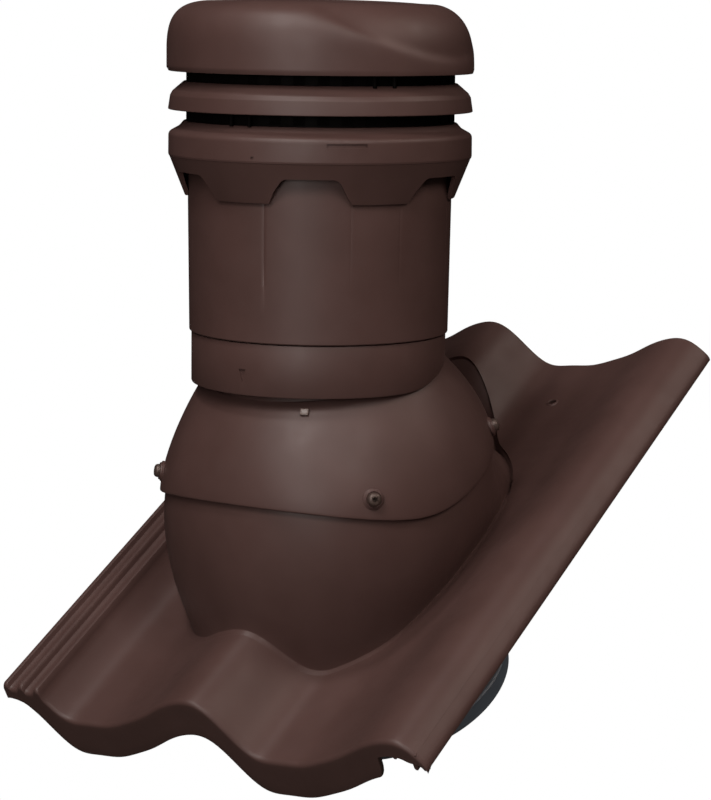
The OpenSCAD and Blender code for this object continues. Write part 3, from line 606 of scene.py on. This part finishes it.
# Shell of the base: a fillet in front or the recess where behind is 1, the wall, a lip hidden under the
# hood, and the way back down inside.
def domeBase():
    a = np.linspace(0, 2 * np.pi, base["steps"], endpoint=False)
    behind = step01(np.sin(a), recess["startLow"], recess["startHigh"])
    front = 1 - behind
    edge = recessEdge(a) * behind + base["fillet"] * front
    floor = edge - 0.012 - recess["floorSlope"] * (edge - 1) * behind
    fade = step01(offSlope(a), recess["deepFull"], recess["deepEnd"])
    deep = recess["groove"] * behind + recess["deepest"] * (1 - fade)
    rows = [recessPoint(a, edge + 0.006 * behind, -1.2 - 0.6 * behind),
            recessPoint(a, edge + 0.001 * behind, -0.05 - 2.3 * behind),
            recessPoint(a, edge - 0.006, 0.1 - 3.1 * behind),
            recessPoint(a, floor, 0.3 * front - deep),
            recessPoint(a, 1.006 + 0.004 * behind, 0.65 * front - deep)]
    start = rows[-1]
    end = wallPoint(a, base["filletTop"], 0)
    corner = recessPoint(a, 1.003, 0.9 * front - 0.8 * deep)
    rows += [bend(start, corner, end, t) for t in np.linspace(0, 1, 9)[1:-1]]
    rows += [wallPoint(a, t, 0) for t in np.linspace(base["filletTop"], 0, 24)]
    clear = baseInset(a)
    share = np.linspace(0, 1, 9)[1:]
    rows += [hoodPoint(a, base["lip"] * v, clear + base["lipIn"] * v) for v in share]
    rows += [hoodPoint(a, base["lip"] * v, clear + base["lipIn"] * v + base["wall"]) for v in share[::-2]]
    rows += [wallPoint(a, t, base["wall"]) for t in np.linspace(0, 0.95, 10)]
    rows += [footPoint(a, -4.5, lift - deep) for lift in (-0.4, -2.2)]
    rows.append(recessPoint(a, floor, -2.6 - deep))
    return np.array(rows).reshape(-1, 3), gridFaces(len(rows), len(a), True, True)


# Solid that opens the tile over the recess, from under the base's wall out to the recess's edge.
def recessCutter():
    a = np.radians(np.linspace(27, 153, 127))
    edge, inner = recessEdge(a), 0.94
    rows = [recessPoint(a, share, lift) for share, lift in ((edge, 8), (edge, -9), (inner, -9), (inner, 8))]
    return closedTube(rows)


subtract(plate, meshObject("cutter", *recessCutter()), 35)
addMesh("domeBase", *domeBase(), brownPlastic, "roof_tile", "brown_plastic", ("dome_base",), 40)

# Dome hood and its screws


# Neck of the hood inside the collar
neck = dict(r=79.2, throatR=70.6, ledge=131.0, top=156.0)


# Shell of the hood: rim, skin, neck inside the collar, and the inside of both.
def domeHood():
    a = np.linspace(0, 2 * np.pi, 288, endpoint=False)
    wall = hood["wall"]
    rows = [hoodPoint(a, 0, wall) + [0, 0, 0.3], hoodPoint(a, 0, wall - 0.4), hoodPoint(a, 0, 0.5),
            hoodPoint(a, 0.004, 0.12), hoodPoint(a, 0.012, 0)]
    rows += [hoodPoint(a, max(v, 0.02), 0) for v in 1 - (1 - np.linspace(0, 1, 44)[1:]) ** 1.25]
    # The top circle closes inwards to a throat, and the neck stands on a ledge hidden in the collar.
    top = rows[-1]
    theta = np.arctan2(top[:, 1], top[:, 0])
    neckR, throatR, ledge, neckTop = neck["r"], neck["throatR"], neck["ledge"], neck["top"]

    def ring(radius, z):
        return np.stack([radius * np.cos(theta), radius * np.sin(theta), z + 0 * theta], -1)

    across = np.minimum(np.hypot(top[:, 0], top[:, 1]), throatR)
    rows.append(np.stack([across * np.cos(theta), across * np.sin(theta), top[:, 2] + 0.15], -1))
    rows.append(ring(throatR, np.maximum(top[:, 2] + 0.2, ledge - 4)))
    rows.append(ring(throatR, np.maximum(top[:, 2] + 0.25, ledge)))
    start = np.maximum(ledge, np.minimum(skinHeight(neckR, theta) - 1.5, 149.0))
    neckRows = [ring(throatR - wall, ledge - 8), ring(throatR - wall, ledge), ring(neckR, start),
                ring(neckR, neckTop - 0.6), ring(neckR - 0.6, neckTop), ring(neckR - 2.6, neckTop),
                ring(neckR - 2.6, start + 1.0)]
    skin = (np.array(rows).reshape(-1, 3), gridFaces(len(rows), len(a), False, True))
    throat = (np.array(neckRows).reshape(-1, 3), gridFaces(len(neckRows), len(a), False, True))
    insideRows = [hoodPoint(a, v, wall) for v in np.linspace(0, 0.97, 20)]
    insideRows[0] = rows[0]
    inside = (np.array(insideRows).reshape(-1, 3), [f[::-1] for f in gridFaces(20, len(a), False, True)])
    return joined([skin, throat, inside])


# Height of the hood's skin above points at a radius from the pipe's axis.
def skinHeight(radius, theta):
    a = np.linspace(0, 2 * np.pi, 721)
    t = np.linspace(0.2, 1, 240)
    p = hoodPoint(a[None, :], t[:, None], 0)
    r = np.hypot(p[..., 0], p[..., 1])
    places, heights = [], []
    for i in range(len(a)):
        order = np.argsort(r[:, i])
        places.append(math.atan2(np.interp(radius, r[order, i], p[order, i, 1]),
                                 np.interp(radius, r[order, i], p[order, i, 0])))
        heights.append(np.interp(radius, r[order, i], p[order, i, 2]))
    places, heights = np.array(places), np.array(heights)
    order = np.argsort(places)
    return np.interp(theta, places[order], heights[order], period=2 * np.pi)


# Box with rounded edges, as points of a subdivided cube pushed onto spheres at its corners.
def roundedBlock(size, radius, steps=3):
    n = 2 * steps + 2
    grid = np.linspace(-1, 1, n)
    parts = []
    for axis in range(3):
        for sign in (-1, 1):
            u, v = np.meshgrid(grid, grid, indexing="ij")
            p = np.zeros((n, n, 3))
            p[..., axis], p[..., (axis + 1) % 3], p[..., (axis + 2) % 3] = sign, u, v
            half = np.array(size) / 2
            core = np.clip(p * half, -(half - radius), half - radius)
            away = p * half - core
            length = np.linalg.norm(away, axis=-1, keepdims=True)
            p = core + away / np.maximum(length, 1e-9) * radius * (length > 1e-9)
            faces = gridFaces(n, n, False, False)
            parts.append((p.reshape(-1, 3), faces if sign > 0 else [f[::-1] for f in faces]))
    return joined(parts)


skinPoints, skinFaces = domeHood()
addMesh("domeHood", skinPoints, skinFaces, brownPlastic, "hood", "brown_plastic", ("dome_hood",), 40)

# Gate mark in front, trimmed flat: a small block whose smooth face looks up at the light, in the paler
# plastic that is painted highlight.
gateMark = dict(size=(6.0, 5.4, 4.4), edge=0.5, at=(35.2, -66.9, 118.4), turn=-68, lean=-27)
block, blockFaces = roundedBlock(gateMark["size"], gateMark["edge"])
blockTurn = np.array(Matrix.Rotation(math.radians(gateMark["turn"]), 3, "Z")
                     @ Matrix.Rotation(math.radians(gateMark["lean"]), 3, "Y"))
addMesh("hoodGateMark", block @ blockTurn.T + gateMark["at"], blockFaces, glintPaintedBrown, "hood", "brown_plastic",
        ("dome_hood",), 40)

# Screws: (turn round the pipe in degrees, share of the hood's height), and the sizes of head and shank
screw = dict(places=((-40.5, 0.175), (220.5, 0.175), (34.5, 0.202), (145.5, 0.202)),
             lobeR=1.6, lobeDepth=0.34, shankR=2.0, shankLong=15.0)


# Raised head, a profile turned round, with a six-lobed recess whose radius swings with cos 6a.
def screwHead():
    a = np.linspace(0, 2 * np.pi, 72, endpoint=False)
    lobe = screw["lobeR"] + screw["lobeDepth"] * np.cos(6 * a)
    recessed = ((0.02, 2.2), (0.85, 2.2), (0.98, 2.4), (1.0, 5.5), (1.09, 5.72))
    raised = ((2.2, 5.7), (3.0, 5.5), (3.7, 5.05), (4.1, 4.5), (4.35, 3.8), (4.41, 2.6), (4.3, 1.2))
    rows = ringRows(a, [(share * lobe, z) for share, z in recessed]) + ringRows(a, raised)
    return np.array(rows).reshape(-1, 3), gridFaces(len(rows), len(a), False, True)


washerProfile = rounded([(2.3, -0.6, 0), (6.7, -0.6, 0.2), (6.8, 0.7, 0.4), (6.3, 1.2, 0.3), (5.8, 1.3, 0.2),
                         (5.6, 2.3, 0.4), (4.95, 2.4, 0.3), (4.75, 1.8, 0.2), (2.3, 1.8, 0)], 4)
shankProfile = rounded([(0.05, -screw["shankLong"], 0), (screw["shankR"], -screw["shankLong"], 0.3),
                        (screw["shankR"], 0, 0), (0.05, 0, 0)], 2)
head, shank, washer = screwHead(), lathe(shankProfile, 20), lathe(washerProfile, 64)
screwParts, washerParts = [], []
for turn, share in screw["places"]:
    at = hoodPoint(math.radians(turn), share, 0.0)
    outwards = facing(at - swivel)
    screwParts += [(points @ outwards.T + at, faces) for points, faces in (head, shank)]
    washerParts.append((washer[0] @ outwards.T + at, washer[1]))
addMesh("domeScrewHeads", *joined(screwParts), screwSteel, "hood", "screw_steel", ("dome_screws",), 30)
addMesh("domeWashers", *joined(washerParts), brownPlastic, "hood", "brown_plastic", ("dome_washers",), 35)
print("dome done")

# Collar and pipe


lock = dict(outer=82.8, inner=79.6, low=127.9, top=161.4, corner=2.2, outerClear=2.2, innerClear=0.9)
mark = dict(turn=-91.5, z=140.6, width=5.4, height=8.4, depth=1.3)


# Collar: nearly level below in front, turning up in a round corner to follow the dome behind.
def collar():
    a = np.linspace(0, 2 * np.pi, 288, endpoint=False)
    outer, inner, top = lock["outer"], lock["inner"], lock["top"]
    outerLow = softMax(lock["low"], skinHeight(outer, a) + lock["outerClear"], lock["corner"])
    innerLow = softMax(lock["low"], skinHeight(inner, a) + lock["innerClear"], lock["corner"])
    rows = ringRows(a, [(inner, innerLow), (inner + 0.4, innerLow - 0.1), (outer - 1.0, outerLow + 0.02),
                        (outer - 0.3, outerLow + 0.3), (outer, outerLow + 1.0), (outer, (outerLow + top) / 2),
                        (outer, top - 0.7), (outer - 0.2, top - 0.2), (outer - 0.7, top), (inner, top)])
    return np.array(rows).reshape(-1, 3), gridFaces(len(rows), len(a), True, True)


# Triangle that points down, as a solid through the collar's skin.
def markCutter():
    a = math.radians(mark["turn"]) + mark["width"] / 2 * np.array([-1, 0, 1]) / lock["outer"]
    z = mark["z"] + mark["height"] / 2 * np.array([1, -1, 1])
    rows = ringRows(a, [(lock["outer"] - mark["depth"], z), (lock["outer"] + 2, z)])
    return np.array(rows).reshape(-1, 3), [[0, 1, 2], [5, 4, 3]] + gridFaces(2, 3, False, True)


lockCollar = addMesh("lockCollar", *collar(), brownPlastic, "hood", "brown_plastic", ("lock_collar",), 35)
subtract(lockCollar, meshObject("cutter", *markCutter()), 35)

# Pipe, a little wider at its top, with upright mould seams: (turn in degrees, lower end, upper end, depth)
pipe = dict(footR=84.2, topR=85.2, low=162.0, tip=284.0, taperEnd=246, wall=2.5, seamHalf=0.55, seamR=85,
            seams=((-80, 198, 250, 0.30), (-43, 206, 250, 0.12), (-20, 206, 250, 0.12), (16, 198, 250, 0.30),
                   (100, 198, 250, 0.30), (137, 206, 250, 0.12)))


# How far the seams sink the skin: a V of the seam's depth over its width.
def seamOffset(a, r, z):
    out = 0 * r
    for degrees, low, high, depth in pipe["seams"]:
        away = np.abs((a - math.radians(degrees) + np.pi) % (2 * np.pi) - np.pi) * pipe["seamR"]
        inside = (z > low) & (z < high) & (r > 83)
        out = out - depth * np.clip(1 - away / pipe["seamHalf"], 0, 1) * inside
    return out


pipeAngles = list(np.linspace(0, 2 * np.pi, 216, endpoint=False))
for seam in pipe["seams"]:
    pipeAngles += [math.radians(seam[0]) + d / pipe["seamR"] for d in (-0.56, -0.28, 0, 0.28, 0.56)]
pipeAngles = np.unique(np.round(np.mod(pipeAngles, 2 * np.pi), 6))
taper = (pipe["topR"] - pipe["footR"]) / (pipe["taperEnd"] - pipe["low"])
footR, topR, bore = pipe["footR"], pipe["topR"], pipe["footR"] - pipe["wall"]
pipeProfile = [(bore, pipe["low"] + 0.2), (footR - 0.8, pipe["low"]), (footR - 0.3, pipe["low"] + 0.2),
               (footR, pipe["low"] + 0.7)]
heights = (167.9, 168.1, 180, 197.9, 198.1, 215, 232, pipe["taperEnd"])
pipeProfile += [(footR + (z - pipe["low"]) * taper, z) for z in heights]
pipeProfile += [(topR, 260), (topR, pipe["tip"] - 1.2), (topR - 1.2, pipe["tip"]), (topR - 2.5, pipe["tip"]),
                (topR - 2.5, 245), (bore, 200)]
addMesh("pipeShell", *lathe(np.array(pipeProfile), angles=pipeAngles, offset=seamOffset), brownPlastic,
        "pipe", "brown_plastic", ("pipe_shell",), 30)
print("pipe done")

# Head


notch = dict(count=6, firstTurn=120, tipZ=249.4, topZ=265.4, mouthR=87.2, mouthTurn=35.2, topR=91, topTurn=21,
             corner=6.5, skinR=88.5)
# Slots sunk in the crown's band: (from and to in degrees, from and to in height, floor's radius, steps)
bandSlots = ((-53.8, -39.0, 285.2, 287.6, 96.9, 16), (-82.0, -80.8, 277.2, 279.0, 96.8, 3))


# Outline of a crown notch across (u) and up (z): a mouth, two sloping sides and round top corners.
def notchOutline():
    mouth = notch["mouthR"] * math.radians(notch["mouthTurn"]) / 2
    top = notch["topR"] * math.radians(notch["topTurn"]) / 2
    tipZ, topZ, corner = notch["tipZ"], notch["topZ"], notch["corner"]
    return rounded([(-mouth - 3.0, tipZ - 6, 0), (mouth + 3.0, tipZ - 6, 0), (mouth, tipZ, 0.8),
                    (top, topZ, corner), (-top, topZ, corner), (-mouth, tipZ, 0.8)], 8)


# The notches, each a solid that widens outwards from inside the skirt.
def notchCutters():
    parts = []
    outline = notchOutline()
    n = len(outline)
    for i in range(notch["count"]):
        theta = math.radians(notch["firstTurn"] + 360 / notch["count"] * i)
        rows = ringRows(theta + outline[:, 0] / notch["skinR"], [(r, outline[:, 1]) for r in (78.0, 112.0)])
        faces = [list(range(n)), [n + j for j in range(n)][::-1]]
        faces += [[j, n + j, n + (j + 1) % n, (j + 1) % n] for j in range(n)]
        parts.append((np.array(rows).reshape(-1, 3), faces))
    return parts


# Solid of a slot that follows the band round from one angle to another.
def curvedSlot(start, end, zLow, zHigh, floorR, steps):
    a = np.radians(np.linspace(start, end, steps))
    rows = ringRows(a, ((floorR, zLow), (104, zLow), (104, zHigh), (floorR, zHigh)))
    return closedTube(rows)


crownProfile = rounded([(85.5, 249.4, 0.2), (87.2, 249.4, 0.7), (97.3, 274.9, 0.2), (97.6, 275.0, 0.15),
                        (97.9, 276.2, 0.8), (97.8, 289.9, 4.0), (91.0, 293.6, 6.0), (88.0, 297.0, 0.8),
                        (86.5, 297.0, 0), (86.5, 294.0, 0), (94.5, 288.0, 2.0), (95.6, 277.0, 3.0),
                        (85.5, 252.4, 0)], 7)
crown = addMesh("crownSkirt", *lathe(crownProfile, 240), brownPlastic, "head", "brown_plastic",
                ("crown_skirt",))
subtract(crown, meshObject("cutter", *joined(notchCutters() + [curvedSlot(*slot) for slot in bandSlots])), 32)

louvreProfile = rounded([(95.9, 304.3, 0.3), (98.1, 304.3, 0.6), (96.7, 313.4, 2.0), (95.1, 316.1, 2.5),
                         (88.0, 322.2, 1.2), (86.5, 322.2, 0), (86.5, 319.6, 0), (94.0, 313.4, 1.5)], 6)
addMesh("louvreRing", *lathe(louvreProfile, 240), brownPlastic, "head", "brown_plastic", ("louvre_ring",), 32)

# The guard's mesh is too fine to see: a closed dark cloth of it in the core's windows, near-black as painted
# shade that shuts the view through the air gaps.
guard = dict(inner=84.6, outer=86.1, low=288.0, high=335.9)
guardCorners = (("inner", "low"), ("outer", "low"), ("outer", "high"), ("inner", "high"))
guardProfile = np.array([(guard[r], guard[z]) for r, z in guardCorners])
addMesh("insectGuard", *lathe(guardProfile, 120), guardPaintedShade, "head", "black_plastic", ("insect_guard",), 32)

# Pegs in pairs: (turns in degrees, foot, top) for the lower gap and the upper
pegs = dict(circleR=89.0, apart=8.8, footR=1.3, topR=1.2,
            gaps=(((-90, 90), 296.6, 319.0), ((-30, 150), 321.0, 336.0)))
pegParts = []
for turns, low, high in pegs["gaps"]:
    profile = np.array([(0.02, low), (pegs["footR"], low), (pegs["topR"], high), (0.02, high)])
    points, faces = lathe(profile, 16)
    for turn in turns:
        for side in (-0.5, 0.5):
            a = math.radians(turn + side * pegs["apart"])
            at = pegs["circleR"] * np.array([math.cos(a), math.sin(a), 0])
            pegParts.append((points + at, faces))
# The pegs stand deep in the air gaps, in the near-black plastic that is painted shade.
addMesh("spacerPegs", *joined(pegParts), gapShadeBrown, "head", "brown_plastic", ("spacer_pegs",), 40)

# The cap is a drum with a soft ledge at its right: above an inclined plane the wall steps in and is rounder.
cap = dict(r=98.0, low=328.7, wallTop=344.4, flat=70.0, top=372.2, crown=1.2, power=2.85, ledgeZ=337.6,
           ledgeSlope=0.557, ledgeTurn=math.radians(5), ledgeEdge=3.5, ledgeRoot=5.0, innerWallTop=343.0,
           innerPower=2.05, inset=0.5, insetMore=2.6, insetTurn=math.radians(-20), rim=95.8, shelf=336.3,
           coreR=86.9, rayFrom=331.0, rayLong=130.0, halvings=34)


# Signed distance to a drum whose shoulder is a quarter superellipse from the wall's top to the flat top.
def drumField(p, radius, wallTop, power):
    c = cap
    z, r = p[..., 2], np.hypot(p[..., 0], p[..., 1])
    width = radius - c["flat"]
    lift = c["crown"] * np.clip(1 - (r / c["flat"]) ** 2, 0, 1)
    u = np.maximum(r - c["flat"], 0) / width
    v = np.maximum(z - wallTop - lift, 0) / (c["top"] - wallTop)
    shoulder = ((u ** power + v ** power) ** (1 / power) - 1) * width
    return np.where(v <= 0, r - radius, shoulder)


# The full drum below the ledge's plane, joined to a drum stepped in by the inset above it.
def capField(p):
    c = cap
    angle = np.arctan2(p[..., 1], p[..., 0])
    across = np.hypot(p[..., 0], p[..., 1]) * np.cos(angle - c["ledgeTurn"])
    plane = (p[..., 2] - c["ledgeZ"] + c["ledgeSlope"] * (across - c["r"])) / math.hypot(1, c["ledgeSlope"])
    fade = np.clip(np.cos(1.4 * np.clip(angle - c["insetTurn"], -1.9, 1.9)), 0, 1)
    inset = c["inset"] + c["insetMore"] * fade
    full = softMax(drumField(p, c["r"], c["wallTop"], c["power"]), plane, c["ledgeEdge"] / 2)
    inner = drumField(p, c["r"] - inset, c["innerWallTop"], c["innerPower"])
    return -softMax(-full, -inner, c["ledgeRoot"] / 4)


# Skin of the cap, found along rays from inside it, closed below by its rim and shelf.
def capShell():
    columns = 288
    a = np.linspace(0, 2 * np.pi, columns, endpoint=False)
    middle = np.array([0, 0, cap["rayFrom"]])
    lift = np.concatenate([np.linspace(0.0, 14, 16), np.linspace(14.5, 48, 60), np.linspace(50, 89.6, 26)])
    lift = np.radians(lift)
    e, aa = np.meshgrid(lift, a, indexing="ij")
    ray = np.stack([np.cos(e) * np.cos(aa), np.cos(e) * np.sin(aa), np.sin(e)], -1)
    near, far = np.zeros(e.shape), np.full(e.shape, cap["rayLong"])
    for _ in range(cap["halvings"]):
        half = (near + far) / 2
        outside = capField(middle + ray * half[..., None]) > 0
        far = np.where(outside, half, far)
        near = np.where(outside, near, half)
    skin = middle + ray * near[..., None]
    low, shelf, rim, r = cap["low"], cap["shelf"], cap["rim"], cap["r"]
    rows = ringRows(a, [(cap["coreR"], shelf + 2), (cap["coreR"], shelf), (rim - 0.8, shelf),
                        (rim, shelf - 0.8), (rim, low + 0.5), (rim + 0.3, low), (r - 0.5, low),
                        (r - 0.1, low + 0.2), (r, low + 0.7)])
    rows += list(skin)
    pts = np.concatenate([np.array(rows).reshape(-1, 3), [[0, 0, cap["top"] + cap["crown"]]]])
    faces = gridFaces(len(rows), columns, False, True)
    last, peak = (len(rows) - 1) * columns, len(rows) * columns
    faces += [[last + i, last + (i + 1) % columns, peak] for i in range(columns)]
    return pts, faces


addMesh("capShell", *capShell(), brownPlastic, "head", "brown_plastic", ("cap_shell",), 50)
print("head done")

# Floor, lights and camera


# Surface of one colour that the camera sees as plain white.
def stageMaterial(name, colour, seen):
    material = bpy.data.materials.new(name)
    material.use_nodes = True
    tree = material.node_tree
    tree.nodes.clear()
    path = addNode(tree, "ShaderNodeLightPath")
    dull = addNode(tree, "ShaderNodeBsdfDiffuse", {"Color": linear(colour)})
    white = addNode(tree, "ShaderNodeEmission", {"Color": (1, 1, 1, 1), "Strength": seen})
    mix = addNode(tree, "ShaderNodeMixShader", {0: path.outputs["Is Camera Ray"], 1: dull.outputs[0],
                                                2: white.outputs[0]})
    addNode(tree, "ShaderNodeOutputMaterial", {"Surface": mix.outputs[0]})
    return material


def addFloor():
    z, half = -0.62, 6.0
    mesh = bpy.data.meshes.new("floor")
    corners = [(-half, -half, z), (half, -half, z), (half, half, z), (-half, half, z)]
    mesh.from_pydata(corners, [], [(0, 1, 2, 3)])
    mesh.materials.append(stageMaterial("pale_floor", "#5c5854", 1.0))
    floor = bpy.data.objects.new("floor", mesh)
    bpy.context.scene.collection.objects.link(floor)


def addWorld(strength):
    world = bpy.data.worlds.new("studio")
    bpy.context.scene.world = world
    world.use_nodes = True
    tree = world.node_tree
    tree.nodes.clear()
    path = addNode(tree, "ShaderNodeLightPath")
    dim = addNode(tree, "ShaderNodeBackground", {"Color": (0.92, 0.95, 1.0, 1), "Strength": strength})
    white = addNode(tree, "ShaderNodeBackground", {"Color": (1, 1, 1, 1), "Strength": 1.0})
    mix = addNode(tree, "ShaderNodeMixShader", {0: path.outputs["Is Camera Ray"], 1: dim.outputs[0],
                                                2: white.outputs[0]})
    addNode(tree, "ShaderNodeOutputWorld", {"Surface": mix.outputs[0]})


lighting = dict(target=(0.0, 0.02, 0.15), away=2.4, world=0.004)


# Soft box that looks at the target from an azimuth (0 is from -Y, positive towards +X) in degrees.
def addLight(name, azimuth, elevation, size, power, colour):
    a, e = math.radians(azimuth), math.radians(elevation)
    away = Vector((math.sin(a) * math.cos(e), -math.cos(a) * math.cos(e), math.sin(e)))
    data = bpy.data.lights.new(name, "AREA")
    data.shape = "DISK"
    data.size = size
    data.energy = power
    data.color = linear(colour)[:3]
    light = bpy.data.objects.new(name, data)
    light.location = Vector(lighting["target"]) + away * lighting["away"]
    light.rotation_euler = away.to_track_quat("Z", "Y").to_euler()
    bpy.context.scene.collection.objects.link(light)


# Camera fitted to the photograph, with its focal length in pixels of the 800 that the picture is high
lens = dict(yaw=32.917, pitch=8.788, roll=0.657, focal=2575.0, high=800, sensor=36,
            away=(-26.004, 113.77, 1705.437))


def addCamera():
    yaw, pitch, roll = (math.radians(lens[turn]) for turn in ("yaw", "pitch", "roll"))
    right = np.array([math.cos(yaw), math.sin(yaw), 0])
    ahead = np.array([-math.sin(yaw) * math.cos(pitch), math.cos(yaw) * math.cos(pitch), -math.sin(pitch)])
    up = np.cross(right, ahead)
    c, k = math.cos(roll), math.sin(roll)
    turned = np.array([[c, -k, 0], [k, c, 0], [0, 0, 1]]) @ np.stack([right, -up, ahead])
    place = -turned.T @ np.array(lens["away"]) * mm
    data = bpy.data.cameras.new("photoCamera")
    data.sensor_width = lens["sensor"]
    data.lens = lens["focal"] * lens["sensor"] / lens["high"]
    data.clip_start, data.clip_end = 0.05, 30
    camera = bpy.data.objects.new("photoCamera", data)
    columns = (turned[0], -turned[1], -turned[2], place)
    rows = [[float(column[i]) for column in columns] for i in range(3)]
    camera.matrix_world = Matrix(rows + [[0, 0, 0, 1]])
    bpy.context.scene.collection.objects.link(camera)
    bpy.context.scene.camera = camera


# Soft boxes: name, azimuth, elevation, width in metres, power in watts, colour
softBoxes = (("highLeftBox", -16, 68, 0.4, 12.5, "#fffaf6"), ("frontBox", 0, 40, 0.9, 9.5, "#fffaf6"),
             ("keyBox", 13, 50, 0.6, 11.5, "#fffaf6"), ("lowFrontBox", 16, 10, 1.1, 13.0, "#fffaf6"),
             ("rightBox", 58, 38, 1.1, 12.5, "#fff8f2"), ("farRightBox", 118, 40, 1.1, 9.5, "#ffeee2"))
addFloor()
addWorld(lighting["world"])
for softBox in softBoxes:
    addLight(*softBox)
addCamera()
bpy.context.scene.view_settings.view_transform = "Standard"
bpy.context.scene.view_settings.look = "None"
